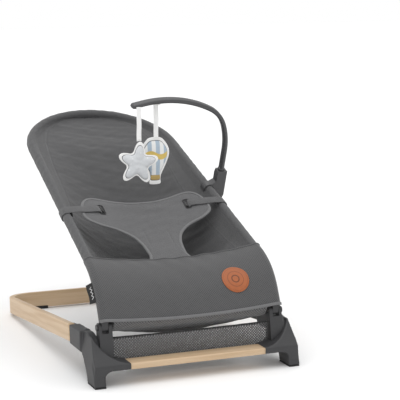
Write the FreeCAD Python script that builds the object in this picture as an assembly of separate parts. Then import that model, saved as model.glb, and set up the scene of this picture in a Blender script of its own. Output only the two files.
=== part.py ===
"""Folding baby bouncer seat: bent-plywood base, plastic legs, tubular seat frame with a fabric sling,
harness and a swivelling toy bar.

Millimetres, +Z up. The front of the seat faces -Y, and left and right are as seen from the front.
The origin lies on the floor, at the centre of the footprint. Work is done with Y counted from the front
of the feet, and every solid is moved by FRAME_SHIFT when it is written.
"""
import FreeCAD
import Part
import math
import os

from FreeCAD import Vector

# ---- driving dimensions ---------------------------------------------------------------------------
# base
BASE_LENGTH = 700.0          # front of the feet to the outer face of the rear strip
BASE_HALF_WIDTH = 227.0      # outer faces of the legs and of the bow
STRIP_THICKNESS = 13.0       # plywood of the bow
STRIP_HEIGHT = 38.0
BOW_CORNER_RADIUS = 68.0     # outer plan radius of the bow's two rear corners
BOW_TILT = 6.0               # degrees, falling to the rear
BOW_START_Y = 166.0          # where the bow leaves the legs
REAR_PAD_THICKNESS = 2.0
FOOT_PAD_THICKNESS = 3.0
LEG_THICKNESS = 25.0
FOOT_DEPTH = 51.0
LEG_TOP = 98.0
CROSSBAR_HALF_SPAN = 147.0   # visible stretch of the front crossbar, to each side
CROSSBAR_DEPTH = 40.0
CROSSBAR_THICKNESS = 13.0
CROSSBAR_FRONT = 4.0
CROSSBAR_BOTTOM = 32.5
TENON_LENGTH = 24.0
TENON_DEPTH = 32.0
TENON_THICKNESS = 7.0
TONGUE_THICKNESS = 10.5
TONGUE_REACH = 34.0
SCREW_BITE = 9.0             # depth to which the screws go into the wood
# hinge
HINGE_Y = 52.0
HINGE_Z = 113.0
HINGE_PIN_RADIUS = 3.0
EAR_RADIUS = 9.5
POST_WIDTH = 28.0
KNUCKLE_WIDTH = 14.0
KNUCKLE_SIDE_GAP = 0.3
RUNNING_CLEARANCE = 0.05
BUTTON_RADIUS = 6.5
BUTTON_TRAVEL = 2.4
BUTTON_LENGTH = 4.6
# seat frame
TUBE_HALF_WIDTH = 190.0      # centre of the tube, at the hinge and at the bend
TUBE_RADIUS = 8.0
TUBE_WALL = 1.5
SHIN_ANGLE = 64.3            # degrees, the frame's rise from the hinge to the bend
BACK_ANGLE = 21.1            # degrees, the rise of the seat and back
CORNER_Y = 84.2              # where the two straight stretches would meet
CORNER_Z = 204.0
BEND_RADIUS = 140.0
TOP_RADIUS = 174.0           # round top of the backrest
TOP_CENTRE = 548.0           # its centre, along the back from the corner
SHIN_LENGTH = 80.0           # from the corner down to the tube's end
CROSS_TUBE_RADIUS = 5.0
CROSS_TUBE_AT = 64.0         # from the corner down the shin
KNUCKLE_DROP = 82.0          # where the knuckle's round socket starts, clear of the ears
KNUCKLE_SOCKET = 22.0        # length of that socket
SLEEVE_GAP = 0.3
SLEEVE_THICKNESS = 1.9
SOFT_GAP = 0.4
# seat fabric
SLING_THICKNESS = 4.0
SLING_LEVEL = 2.0            # the sling's edges lie this far under the tube's centre plane
SLING_SAG = (                # along the back from the corner, depth of the underside
    (64.0, 24.0), (100.0, 96.0), (142.0, 140.0), (200.0, 128.0), (300.0, 106.0), (400.0, 80.0),
    (470.0, 56.0), (540.0, 31.0), (570.0, 21.5), (600.0, 17.5), (650.0, 13.0), (690.0, 10.0), (708.0, 8.5),
)
SEAM_ALONG = 70.0            # the apron's upper seam, along the back from the corner
HEM_DROP = 90.0              # the apron's hem, from the corner down the shin
APRON_THICKNESS = 2.4
MESH_THICKNESS = 2.5
UNDER_MESH_LINE = (          # (y, z) of the mesh underside, from behind the hem to under the sling
    (62.0, 108.0), (92.0, 84.0), (131.0, 71.0), (176.0, 83.0), (214.0, 102.0), (250.0, 118.5),
)
PANEL_Y = 50.0
PANEL_TOP = 90.0
# harness
HARNESS_THICKNESS = 3.0
HARNESS_LOW = (72.0, -22.0)  # along the back, height over the tube's centre plane, at the crotch
HARNESS_HIGH = (290.0, 2.0)  # the same at the top edge
HARNESS_OUTLINE = (          # half outline, X and distance along the harness from its low end
    (38.0, 0.0), (40.0, 40.0), (46.0, 78.0), (62.0, 106.0), (88.0, 128.0), (124.0, 141.0),
    (147.0, 164.0), (145.0, 200.0), (130.0, 226.0), (104.0, 229.0), (60.0, 219.0), (0.0, 211.0),
)
STRAP_ALONG = 259.0
STRAP_WIDTH = 25.0
STRAP_THICKNESS = 1.5
STRAP_INNER_X = 104.0
# trim
PATCH_RADIUS = 31.0
PATCH_X = 109.0
PATCH_ANGLE = 52.0           # degrees, slope of the apron where the patch is sewn
PATCH_THICKNESS = 1.6
LABEL_LENGTH = 45.0
LABEL_WIDTH = 16.0
LABEL_THICKNESS = 0.8
LABEL_FRONT = 3.0            # its front edge, out from the tube's centre plane
LABEL_DROP = 24.0            # from the corner down the shin to the label's middle
# toy bar
CLIP_ALONG = 333.0
CLIP_WALL = 3.2
CLIP_LENGTH = 20.0
CLIP_MOUTH = 9.0
SOCKET_X = 207.0
SOCKET_WIDTH = 24.0
SOCKET_LOW = -24.0
SOCKET_HIGH = 46.0
STEM_RADIUS = 5.0
STEM_DEPTH = 30.0
BAR_THICKNESS = 10.5
BAR_WIDTH = 19.0
BAR_STRAIGHT_TOP = 96.0
BAR_ARCS = ((180.0, 90.0, 68.0), (80.0, 68.0, 27.0), (240.0, 27.0, -13.0))
BAR_END = 27.0
# hanging toys
RIBBON_WIDTH = 11.0
RIBBON_THICKNESS = 1.2
STAR_RIBBON_LENGTH = 74.0
BALLOON_RIBBON_LENGTH = 87.0
RIBBON_STAND_OFF = 1.5       # from the bar's edge to the middle of the ribbon
STAR_X = -19.0
STAR_OUTER = 48.0
STAR_INNER = 28.0
STAR_TURN = -7.0
BALLOON_X = 27.0
BALLOON_RADIUS = 34.0
BALLOON_HEIGHT = 104.0
BASKET_WIDTH = 24.0
BASKET_HEIGHT = 18.0
TOY_THICKNESS = 17.0
SCREW_RADIUS = 2.5
SCREW_HEAD_RADIUS = 4.5
SCREW_HEAD = 2.5
HOLE_GAP = 0.05

# ---- derived ------------------------------------------------------------------------------------
BACK = math.radians(BACK_ANGLE)
SHIN = math.radians(SHIN_ANGLE)
SLEEVE_INNER = TUBE_RADIUS + SLEEVE_GAP
SLEEVE_RADIUS = SLEEVE_INNER + SLEEVE_THICKNESS
APEX_ALONG = TOP_CENTRE + TOP_RADIUS
APEX_Y = CORNER_Y + APEX_ALONG * math.cos(BACK)
REAR_Y = max(BASE_LENGTH, APEX_Y + SLEEVE_RADIUS)
FRAME_SHIFT = Vector(0, -REAR_Y / 2, 0)
BEND_TANGENT = BEND_RADIUS * math.tan((SHIN - BACK) / 2)
POST_INNER = TUBE_HALF_WIDTH - POST_WIDTH / 2 - 1.0
POST_OUTER = POST_INNER + POST_WIDTH
KNUCKLE_INNER = TUBE_HALF_WIDTH - KNUCKLE_WIDTH / 2
KNUCKLE_OUTER = TUBE_HALF_WIDTH + KNUCKLE_WIDTH / 2
BOW_INNER_X = BASE_HALF_WIDTH - STRIP_THICKNESS
LEG_INNER = BASE_HALF_WIDTH - LEG_THICKNESS
CROSSBAR_TOP = CROSSBAR_BOTTOM + CROSSBAR_THICKNESS
APRON_INNER = SLEEVE_RADIUS + SOFT_GAP
APRON_OUTER = APRON_INNER + APRON_THICKNESS
APRON_HALF_WIDTH = TUBE_HALF_WIDTH + SLEEVE_RADIUS - 1.0
CLIP_BORE = SLEEVE_RADIUS + SLEEVE_GAP

ALONG = Vector(0, math.cos(BACK), math.sin(BACK))
OVER = Vector(0, -math.sin(BACK), math.cos(BACK))
DOWN_SHIN = Vector(0, -math.cos(SHIN), -math.sin(SHIN))
SHIN_OUT = Vector(0, -math.sin(SHIN), math.cos(SHIN))
CORNER = Vector(0, CORNER_Y, CORNER_Z)
XAXIS = Vector(1, 0, 0)
YAXIS = Vector(0, 1, 0)
ZAXIS = Vector(0, 0, 1)


# ---- helpers --------------------------------------------------------------------------------------
def back_point(x, along, over=0.0):
    """A point given along the back from the corner, and over the tube's centre plane."""
    return CORNER + ALONG * along + OVER * over + XAXIS * x


def shin_point(x, drop, out=0.0):
    """A point given down the shin from the corner, and out from the tube's centre plane."""
    return CORNER + DOWN_SHIN * drop + SHIN_OUT * out + XAXIS * x


def polygon(points):
    return Part.makePolygon(points + [points[0]])


def prism(points, direction):
    return Part.Face(polygon(points)).extrude(direction)


def side_prism(outline, x_low, x_high):
    """Extrude a (y, z) outline from x_low to x_high."""
    return prism([Vector(x_low, y, z) for y, z in outline], XAXIS * (x_high - x_low))


def curved_prism(edges, direction):
    return Part.Face(Part.Wire(edges)).extrude(direction)


def line(start, end):
    return Part.LineSegment(start, end).toShape()


def arc(start, middle, end):
    return Part.Arc(start, middle, end).toShape()


def mirrored(shape):
    return shape.mirror(Vector(0, 0, 0), XAXIS)


def one_solid(shape):
    clean = shape.removeSplitter()
    return clean.Solids[0] if len(clean.Solids) == 1 else Part.makeCompound(clean.Solids)


def rod(start, end, radius):
    return Part.makeCylinder(radius, (end - start).Length, start, end - start)


def write(name, shape):
    placed = one_solid(shape)
    placed = placed.copy()
    placed.translate(FRAME_SHIFT)
    placed.exportStep("parts/%s.step" % name)
    print(name, len(placed.Solids), round(placed.Volume), placed.isValid())


def write_pair(name, right_shape):
    write("right_" + name, right_shape)
    write("left_" + name, mirrored(right_shape))


# ---- base: bow, crossbar, legs -----------------------------------------------------------------------
def tilted(shape):
    """Turn a bow-frame shape (v along the bow, w up) into the base: its rear lower edge is on the pads."""
    length = bow_length()
    moved = shape.copy()
    moved.translate(Vector(0, -length, 0))
    moved.rotate(Vector(0, 0, 0), XAXIS, -BOW_TILT)
    moved.translate(Vector(0, BASE_LENGTH, REAR_PAD_THICKNESS))
    return moved


def bow_length():
    return (BASE_LENGTH - BOW_START_Y) / math.cos(math.radians(BOW_TILT))


def bow_face(half_width, radius, length):
    """U-shaped plan edge from the right front to the left front, as wire edges."""
    diag = radius * (1 - math.sqrt(0.5))
    right = Vector(half_width, 0, 0)
    right_end = Vector(half_width, length - radius, 0)
    right_mid = Vector(half_width - diag, length - diag, 0)
    right_top = Vector(half_width - radius, length, 0)
    left_top = Vector(radius - half_width, length, 0)
    left_mid = Vector(diag - half_width, length - diag, 0)
    left_end = Vector(-half_width, length - radius, 0)
    left = Vector(-half_width, 0, 0)
    return [line(right, right_end), arc(right_end, right_mid, right_top), line(right_top, left_top),
            arc(left_top, left_mid, left_end), line(left_end, left)]


def rear_bow():
    length = bow_length()
    outer = bow_face(BASE_HALF_WIDTH, BOW_CORNER_RADIUS, length)
    inner = bow_face(BOW_INNER_X, BOW_CORNER_RADIUS - STRIP_THICKNESS, length - STRIP_THICKNESS)
    left_end = line(Vector(-BASE_HALF_WIDTH, 0, 0), Vector(-BOW_INNER_X, 0, 0))
    right_end = line(Vector(BOW_INNER_X, 0, 0), Vector(BASE_HALF_WIDTH, 0, 0))
    edges = outer + [left_end] + inner[::-1] + [right_end]
    wire = Part.Wire(Part.__sortEdges__(edges))
    return tilted(Part.Face(wire).extrude(ZAXIS * STRIP_HEIGHT))


def bow_screw_axes():
    """Start points and lengths of the screws that hold one end of the bow, in the bow's frame."""
    return [Vector(BOW_INNER_X - TONGUE_THICKNESS, v, STRIP_HEIGHT / 2) for v in (10.0, 25.0)]


def bow_screws():
    screws = []
    for start in bow_screw_axes():
        end = start + XAXIS * (TONGUE_THICKNESS + SCREW_BITE)
        shank = rod(start, end, SCREW_RADIUS)
        head = rod(start - XAXIS * SCREW_HEAD, start, SCREW_HEAD_RADIUS)
        screws.append(tilted(shank.fuse(head)))
    return screws


def bow_screw_holes():
    holes = []
    for start in bow_screw_axes():
        end = start + XAXIS * (TONGUE_THICKNESS + SCREW_BITE + HOLE_GAP)
        holes.append(tilted(rod(start - XAXIS * 0.01, end, SCREW_RADIUS + HOLE_GAP)))
    return holes


def crossbar():
    wood = Part.makeBox(2 * CROSSBAR_HALF_SPAN, CROSSBAR_DEPTH, CROSSBAR_THICKNESS,
                        Vector(-CROSSBAR_HALF_SPAN, CROSSBAR_FRONT, CROSSBAR_BOTTOM))
    half = CROSSBAR_HALF_SPAN + TENON_LENGTH
    tenon = Part.makeBox(2 * half, TENON_DEPTH, TENON_THICKNESS,
                         Vector(-half, CROSSBAR_FRONT + (CROSSBAR_DEPTH - TENON_DEPTH) / 2,
                                CROSSBAR_BOTTOM + (CROSSBAR_THICKNESS - TENON_THICKNESS) / 2))
    return wood.fuse(tenon)


def crossbar_screw_feet():
    middle = CROSSBAR_FRONT + CROSSBAR_DEPTH / 2
    x = CROSSBAR_HALF_SPAN + TENON_LENGTH / 2
    return [Vector(x, middle - 9.0, CROSSBAR_BOTTOM), Vector(x, middle + 9.0, CROSSBAR_BOTTOM)]


def crossbar_screws():
    screws = []
    for foot in crossbar_screw_feet():
        shank = rod(foot, foot + ZAXIS * SCREW_BITE, SCREW_RADIUS)
        head = rod(foot - ZAXIS * SCREW_HEAD, foot, SCREW_HEAD_RADIUS)
        screws.append(shank.fuse(head))
    return screws


def crossbar_screw_holes():
    return [rod(foot - ZAXIS * 0.01, foot + ZAXIS * (SCREW_BITE + HOLE_GAP), SCREW_RADIUS + HOLE_GAP)
            for foot in crossbar_screw_feet()]


def post_outline():
    """Side outline of a post: two leaning flanks under a round head at the hinge."""
    foot = CROSSBAR_BOTTOM + 8.0
    front_low = Vector(0, HINGE_Y - 22.0, foot)
    rear_low = Vector(0, HINGE_Y + 7.0, foot)
    rear_high = Vector(0, HINGE_Y + EAR_RADIUS, HINGE_Z)
    head = Vector(0, HINGE_Y, HINGE_Z + EAR_RADIUS)
    front_high = Vector(0, HINGE_Y - EAR_RADIUS, HINGE_Z)
    return [line(front_low, rear_low), line(rear_low, rear_high), arc(rear_high, head, front_high),
            line(front_high, front_low)]


def post_blank():
    blank = curved_prism(post_outline(), XAXIS * POST_WIDTH)
    blank.translate(XAXIS * POST_INNER)
    return blank


def hinge_axis(x):
    return Vector(x, HINGE_Y, HINGE_Z)


def button_seat_x():
    """Floor of the button's pocket in the outer ear."""
    return POST_OUTER - BUTTON_LENGTH + 0.8


def right_post():
    slot_inner = KNUCKLE_INNER - KNUCKLE_SIDE_GAP
    slot_width = KNUCKLE_WIDTH + 2 * KNUCKLE_SIDE_GAP
    slot = Part.makeBox(slot_width, 4 * EAR_RADIUS, 4 * EAR_RADIUS,
                        Vector(slot_inner, HINGE_Y - 2 * EAR_RADIUS, HINGE_Z - EAR_RADIUS - 1.5))
    bore = rod(hinge_axis(POST_INNER - 1), hinge_axis(pin_end()), HINGE_PIN_RADIUS + HOLE_GAP)
    pocket = rod(hinge_axis(button_seat_x()), hinge_axis(POST_OUTER + 1), BUTTON_RADIUS + 0.2)
    return post_blank().cut(slot).cut(bore).cut(pocket)


def pin_end():
    return button_seat_x() - 0.6


def right_pin():
    return rod(hinge_axis(POST_INNER + 0.4), hinge_axis(pin_end()), HINGE_PIN_RADIUS)


def right_button():
    inner = button_seat_x() + BUTTON_TRAVEL + 0.2
    return rod(hinge_axis(inner), hinge_axis(inner + BUTTON_LENGTH), BUTTON_RADIUS)


def leg_side_outline():
    """Outer plate of a leg: foot, leaning front edge, rounded shoulder, arm to the bow."""
    floor = FOOT_PAD_THICKNESS
    toe = Vector(0, 0, floor)
    shin = Vector(0, 20, 50)
    shoulder = Vector(0, 48, 88)
    crown = Vector(0, 64, LEG_TOP - 2.5)
    top = Vector(0, 90, LEG_TOP)
    arm_top = Vector(0, BOW_START_Y + 12, LEG_TOP - 4)
    arm_low = Vector(0, BOW_START_Y + 8, 54.5)
    notch = Vector(0, 100, 54.5)
    calf = Vector(0, 67, 34)
    heel = Vector(0, FOOT_DEPTH + 1, 10)
    heel_low = Vector(0, FOOT_DEPTH, floor)
    return [arc(toe, shin, shoulder), arc(shoulder, crown, top), line(top, arm_top), line(arm_top, arm_low),
            line(arm_low, notch), arc(notch, calf, heel), line(heel, heel_low), line(heel_low, toe)]


def leg_front_outline():
    """Inner arm of a leg seen from the front: it sweeps down from the shoulder to the crossbar."""
    low = Vector(CROSSBAR_HALF_SPAN, 0, CROSSBAR_BOTTOM)
    high = Vector(CROSSBAR_HALF_SPAN, 0, CROSSBAR_TOP)
    sweep = Vector(188, 0, 60)
    top = Vector(BOW_INNER_X + 2, 0, LEG_TOP - 3)
    outer_top = Vector(BASE_HALF_WIDTH - 4, 0, LEG_TOP - 3)
    outer_low = Vector(BASE_HALF_WIDTH - 1, 0, CROSSBAR_BOTTOM - 14)
    inner_low = Vector(LEG_INNER + 3, 0, CROSSBAR_BOTTOM - 16)
    knee = Vector(LEG_INNER - 3.5, 0, CROSSBAR_BOTTOM - 4.5)
    under = Vector(LEG_INNER - 14, 0, CROSSBAR_BOTTOM)
    return [line(low, high), arc(high, sweep, top), line(top, outer_top), line(outer_top, outer_low),
            line(outer_low, inner_low), arc(inner_low, knee, under), line(under, low)]


def leg_draft():
    """Wedge that leans a leg's outer face inwards towards the top."""
    outline = [(BASE_HALF_WIDTH, 40), (BASE_HALF_WIDTH - 9, LEG_TOP + 1), (BASE_HALF_WIDTH + 9, LEG_TOP + 1)]
    return prism([Vector(x, -10, z) for x, z in outline], YAXIS * (BOW_START_Y - 60))


def right_leg():
    plate = curved_prism(leg_side_outline(), XAXIS * LEG_THICKNESS)
    plate.translate(XAXIS * LEG_INNER)
    sweep = curved_prism(leg_front_outline(), YAXIS * (HINGE_Y + 40))
    front = CROSSBAR_FRONT - 0.5
    rear = CROSSBAR_FRONT + CROSSBAR_DEPTH + 0.5
    limit = side_prism([(front, 0), (front, CROSSBAR_TOP - 2), (24, 68), (46, LEG_TOP),
                        (HINGE_Y + 18, LEG_TOP), (HINGE_Y + 18, 56), (rear, CROSSBAR_TOP - 6), (rear, 0)],
                       0, BASE_HALF_WIDTH)
    arm = sweep.common(limit)
    tongue = Part.makeBox(TONGUE_THICKNESS, 70 + TONGUE_REACH, STRIP_HEIGHT - 8,
                          Vector(BOW_INNER_X - TONGUE_THICKNESS, -70, 4))
    bow_space = Part.makeBox(4 * STRIP_THICKNESS, 60, 2 * STRIP_HEIGHT,
                             Vector(BOW_INNER_X, 0, -STRIP_HEIGHT / 2))
    arm_space = Part.makeBox(2 * STRIP_THICKNESS, 60, 2 * STRIP_HEIGHT,
                             Vector(BOW_INNER_X - 1.5 * STRIP_THICKNESS, 0, -STRIP_HEIGHT / 2))
    plate = plate.cut(tilted(bow_space)).cut(tilted(arm_space))
    leg = plate.fuse(arm).fuse(tilted(tongue)).cut(leg_draft())
    leg = leg.cut(crossbar()).cut(post_blank())
    for hole in bow_screw_holes() + crossbar_screw_holes():
        leg = leg.cut(hole)
    return leg


def right_foot_pad():
    inset = 1.0
    return Part.makeBox(LEG_THICKNESS - 2 * inset, FOOT_DEPTH - 2 * inset, FOOT_PAD_THICKNESS,
                        Vector(LEG_INNER + inset, inset, 0))


def rear_pad(bow):
    length = 34.0
    wall = 2.0
    block = Part.makeBox(length, STRIP_THICKNESS + 2 * wall, 7.0,
                         Vector(120.0, BASE_LENGTH - STRIP_THICKNESS - wall + 0.5, 0))
    return block.cut(bow)


def front_mesh_panel():
    half = POST_INNER - SLEEVE_GAP
    bottom = CROSSBAR_BOTTOM - 2
    sheet = Part.makeBox(2 * half, MESH_THICKNESS, PANEL_TOP - bottom, Vector(-half, PANEL_Y, bottom))
    leg = right_leg()
    return sheet.cut(leg).cut(mirrored(leg))


# ---- seat frame ---------------------------------------------------------------------------------------
def taper_angle():
    """Angle by which the frame's sides close in, so that they run smoothly into the round top."""
    reach = math.hypot(TUBE_HALF_WIDTH, TOP_CENTRE)
    lean = math.atan2(TOP_CENTRE, TUBE_HALF_WIDTH)
    return math.acos(TOP_RADIUS / reach) - lean


def side_half_width(along):
    """Half width of the tube's centre line at a distance along the back."""
    taper = taper_angle()
    tangent = TOP_CENTRE + TOP_RADIUS * math.sin(taper)
    if along <= tangent:
        return TUBE_HALF_WIDTH - along * math.tan(taper)
    return math.sqrt(max(0.0, TOP_RADIUS ** 2 - (along - TOP_CENTRE) ** 2))


def frame_path(shin_length):
    """Centre line of the seat tube: shin, bend, side, round top, and the same down the other side."""
    taper = taper_angle()
    side = (back_point(TOP_RADIUS * math.cos(taper), TOP_CENTRE + TOP_RADIUS * math.sin(taper))
            - back_point(TUBE_HALF_WIDTH, 0))
    side.normalize()
    corner = back_point(TUBE_HALF_WIDTH, 0)
    turn = math.acos(max(-1.0, min(1.0, -(DOWN_SHIN.dot(side)))))
    tangent = BEND_RADIUS * math.tan(turn / 2)
    foot = corner + DOWN_SHIN * shin_length
    bend_start = corner + DOWN_SHIN * tangent
    bend_end = corner + side * tangent
    bisector = (DOWN_SHIN + side)
    bisector.normalize()
    middle = corner + bisector * (BEND_RADIUS / math.cos(turn / 2) - BEND_RADIUS)
    side_end = back_point(TOP_RADIUS * math.cos(taper), TOP_CENTRE + TOP_RADIUS * math.sin(taper))
    apex = back_point(0, APEX_ALONG)

    def other(point):
        return Vector(-point.x, point.y, point.z)

    return Part.Wire([
        line(foot, bend_start), arc(bend_start, middle, bend_end), line(bend_end, side_end),
        arc(side_end, apex, other(side_end)),
        line(other(side_end), other(bend_end)), arc(other(bend_end), other(middle), other(bend_start)),
        line(other(bend_start), other(foot))])


def swept_tube(path, radius):
    start = path.Vertexes[0].Point
    profile = Part.Wire([Part.Circle(start, DOWN_SHIN, radius).toShape()])
    return path.makePipeShell([profile], True, False)


def seat_tube():
    path = frame_path(SHIN_LENGTH)
    return swept_tube(path, TUBE_RADIUS).cut(swept_tube(path, TUBE_RADIUS - TUBE_WALL))


def cross_tube_line():
    return shin_point(-TUBE_HALF_WIDTH, CROSS_TUBE_AT), shin_point(TUBE_HALF_WIDTH, CROSS_TUBE_AT)


def cross_tube():
    left, right = cross_tube_line()
    cut_back = swept_tube(frame_path(SHIN_LENGTH), TUBE_RADIUS)
    bar = rod(left, right, CROSS_TUBE_RADIUS).cut(rod(left, right, CROSS_TUBE_RADIUS - TUBE_WALL))
    pieces = bar.cut(cut_back).Solids
    return max(pieces, key=lambda piece: piece.Volume)


def frame_sleeve():
    path = frame_path(KNUCKLE_DROP - KNUCKLE_SOCKET)
    sleeve = swept_tube(path, SLEEVE_RADIUS).cut(swept_tube(path, SLEEVE_INNER))
    left, right = cross_tube_line()
    return sleeve.cut(rod(left, right, CROSS_TUBE_RADIUS + SLEEVE_GAP))


def right_knuckle():
    socket_radius = SLEEVE_RADIUS - 0.2
    disc = rod(hinge_axis(KNUCKLE_INNER), hinge_axis(KNUCKLE_OUTER), EAR_RADIUS - 0.3)
    base_in = shin_point(0, KNUCKLE_DROP - 3, -socket_radius)
    base_out = shin_point(0, KNUCKLE_DROP - 3, socket_radius)
    web_points = [Vector(KNUCKLE_INNER, HINGE_Y - EAR_RADIUS + 0.5, HINGE_Z - 1),
                  Vector(KNUCKLE_INNER, HINGE_Y + EAR_RADIUS - 0.5, HINGE_Z - 1),
                  Vector(KNUCKLE_INNER, base_in.y, base_in.z), Vector(KNUCKLE_INNER, base_out.y, base_out.z)]
    web = prism(web_points, XAXIS * KNUCKLE_WIDTH)
    socket = rod(shin_point(TUBE_HALF_WIDTH, KNUCKLE_DROP),
                 shin_point(TUBE_HALF_WIDTH, KNUCKLE_DROP - KNUCKLE_SOCKET + SLEEVE_GAP), socket_radius)
    tube_space = rod(shin_point(TUBE_HALF_WIDTH, SHIN_LENGTH), shin_point(TUBE_HALF_WIDTH, 20),
                     TUBE_RADIUS + HOLE_GAP)
    bore = rod(hinge_axis(KNUCKLE_INNER - 1), hinge_axis(KNUCKLE_OUTER + 1),
               HINGE_PIN_RADIUS + RUNNING_CLEARANCE)
    left, right = cross_tube_line()
    cross_space = rod(left, right, CROSS_TUBE_RADIUS + 0.1)
    return disc.fuse(web).fuse(socket).cut(tube_space).cut(bore).cut(cross_space)


# ---- fabric -------------------------------------------------------------------------------------------
def sling_section(along, depth):
    """Closed hammock section across the seat at one distance along the back."""
    half = side_half_width(along) - SLEEVE_RADIUS - SOFT_GAP
    if along > TOP_CENTRE:
        inner_top = TOP_RADIUS - SLEEVE_RADIUS - SOFT_GAP
        half = math.sqrt(inner_top ** 2 - (along - TOP_CENTRE) ** 2)
    wall = SLING_THICKNESS
    outer_left = back_point(-half, along, -SLING_LEVEL)
    outer_mid = back_point(0, along, -depth)
    outer_right = back_point(half, along, -SLING_LEVEL)
    inner_right = back_point(half - 1.5 * wall, along, -SLING_LEVEL)
    inner_mid = back_point(0, along, -(depth - wall))
    inner_left = back_point(1.5 * wall - half, along, -SLING_LEVEL)
    return Part.Wire([arc(outer_left, outer_mid, outer_right), line(outer_right, inner_right),
                      arc(inner_right, inner_mid, inner_left), line(inner_left, outer_left)])


def seat_sling():
    sling = Part.makeLoft([sling_section(along, depth) for along, depth in SLING_SAG], True, True)
    for notch in (strap_space(STRAP_ALONG, STRAP_WIDTH, STRAP_THICKNESS),
                  strap_space(CLIP_ALONG, CLIP_LENGTH, CLIP_WALL)):
        sling = sling.cut(notch).cut(mirrored(notch))
    return sling


def side_direction():
    """Direction of the right side of the frame, upwards along the back."""
    taper = taper_angle()
    return ALONG * math.cos(taper) - XAXIS * math.sin(taper)


def side_rod(middle_along, length, radius):
    """Round bar round the right side of the frame, centred at one distance along the back."""
    middle = back_point(side_half_width(middle_along), middle_along)
    half = side_direction() * (length / 2)
    return rod(middle - half, middle + half, radius)


def strap_space(middle_along, length, wall):
    """Room in the sling's edge for something that goes round the frame."""
    return side_rod(middle_along, length + 2 * SOFT_GAP, SLEEVE_RADIUS + SOFT_GAP + wall + SOFT_GAP)


def wrap_band(inner, outer, drop, along, half_width):
    """Band over the front of the frame, between two offsets from the tube's centre line."""
    def edge(offset):
        low = shin_point(0, drop, offset)
        bend_low = shin_point(0, BEND_TANGENT, offset)
        centre = shin_point(0, BEND_TANGENT, -BEND_RADIUS)
        middle_out = SHIN_OUT + OVER
        middle_out.normalize()
        middle = centre + middle_out * (BEND_RADIUS + offset)
        bend_high = back_point(0, BEND_TANGENT, offset)
        high = back_point(0, along, offset)
        return low, bend_low, middle, bend_high, high

    a_low, a_start, a_mid, a_end, a_high = edge(inner)
    b_low, b_start, b_mid, b_end, b_high = edge(outer)
    edges = [line(a_low, a_start), arc(a_start, a_mid, a_end), line(a_end, a_high), line(a_high, b_high),
             line(b_high, b_end), arc(b_end, b_mid, b_start), line(b_start, b_low), line(b_low, a_low)]
    band = curved_prism(edges, XAXIS * (2 * half_width))
    band.translate(XAXIS * -half_width)
    return band


def apron():
    return wrap_band(APRON_INNER, APRON_OUTER, HEM_DROP, SEAM_ALONG, APRON_HALF_WIDTH)


def under_mesh():
    """Mesh underside of the front of the seat, from the hem back to the lowest part of the sling."""
    hem = shin_point(0, HEM_DROP - 4, APRON_INNER - SOFT_GAP)
    top = [(hem.y, hem.z)] + list(UNDER_MESH_LINE)
    bottom = [(y + 0.4, z - MESH_THICKNESS) for y, z in top]
    half = POST_INNER - 4.0
    return side_prism(top + bottom[::-1], -half, half)


def harness():
    """T-shaped crotch panel, flat and slightly steeper than the back."""
    low = back_point(0, *HARNESS_LOW)
    high = back_point(0, *HARNESS_HIGH)
    run = high - low
    run.normalize()
    up = XAXIS.cross(run)
    right = [low + XAXIS * x + run * d for x, d in HARNESS_OUTLINE]
    left = [low - XAXIS * x + run * d for x, d in HARNESS_OUTLINE[-2::-1]]
    return prism(right + left, up * HARNESS_THICKNESS)


def harness_over(along):
    """Height of the harness's upper face over the tube's centre plane."""
    share = (along - HARNESS_LOW[0]) / (HARNESS_HIGH[0] - HARNESS_LOW[0])
    return HARNESS_LOW[1] + share * (HARNESS_HIGH[1] - HARNESS_LOW[1]) + HARNESS_THICKNESS


def right_strap():
    """Webbing from the harness's wing out and round the frame."""
    start = STRAP_ALONG - STRAP_WIDTH / 2
    centre_x = side_half_width(STRAP_ALONG)
    inner_radius = SLEEVE_RADIUS + SOFT_GAP
    outer_radius = inner_radius + STRAP_THICKNESS
    ring = side_rod(STRAP_ALONG, STRAP_WIDTH, outer_radius)
    hole = side_rod(STRAP_ALONG, 2 * STRAP_WIDTH, inner_radius)
    low = harness_over(start + STRAP_WIDTH) + SOFT_GAP
    profile = [(centre_x, inner_radius), (centre_x, outer_radius),
               (STRAP_INNER_X, low + STRAP_THICKNESS), (STRAP_INNER_X, low)]
    band = prism([back_point(x, start, over) for x, over in profile], ALONG * STRAP_WIDTH)
    return ring.fuse(band).cut(hole)


def leather_patch():
    band = wrap_band(APRON_OUTER + SOFT_GAP, APRON_OUTER + SOFT_GAP + PATCH_THICKNESS, HEM_DROP, SEAM_ALONG,
                     APRON_HALF_WIDTH)
    slope = math.radians(PATCH_ANGLE)
    normal = Vector(0, -math.sin(slope), math.cos(slope))
    centre = shin_point(0, BEND_TANGENT, -BEND_RADIUS) + XAXIS * PATCH_X
    disc = rod(centre, centre + normal * (BEND_RADIUS + 60), PATCH_RADIUS)
    return band.common(disc)


def side_label():
    """Woven flag label on the left side of the frame, behind the tube."""
    x = -(TUBE_HALF_WIDTH + SLEEVE_RADIUS + SOFT_GAP)
    high = LABEL_DROP - LABEL_LENGTH / 2
    low = LABEL_DROP + LABEL_LENGTH / 2
    corners = [shin_point(x, high, LABEL_FRONT), shin_point(x, low, LABEL_FRONT),
               shin_point(x, low, LABEL_FRONT - LABEL_WIDTH), shin_point(x, high, LABEL_FRONT - LABEL_WIDTH)]
    return prism(corners, XAXIS * -LABEL_THICKNESS)


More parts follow.
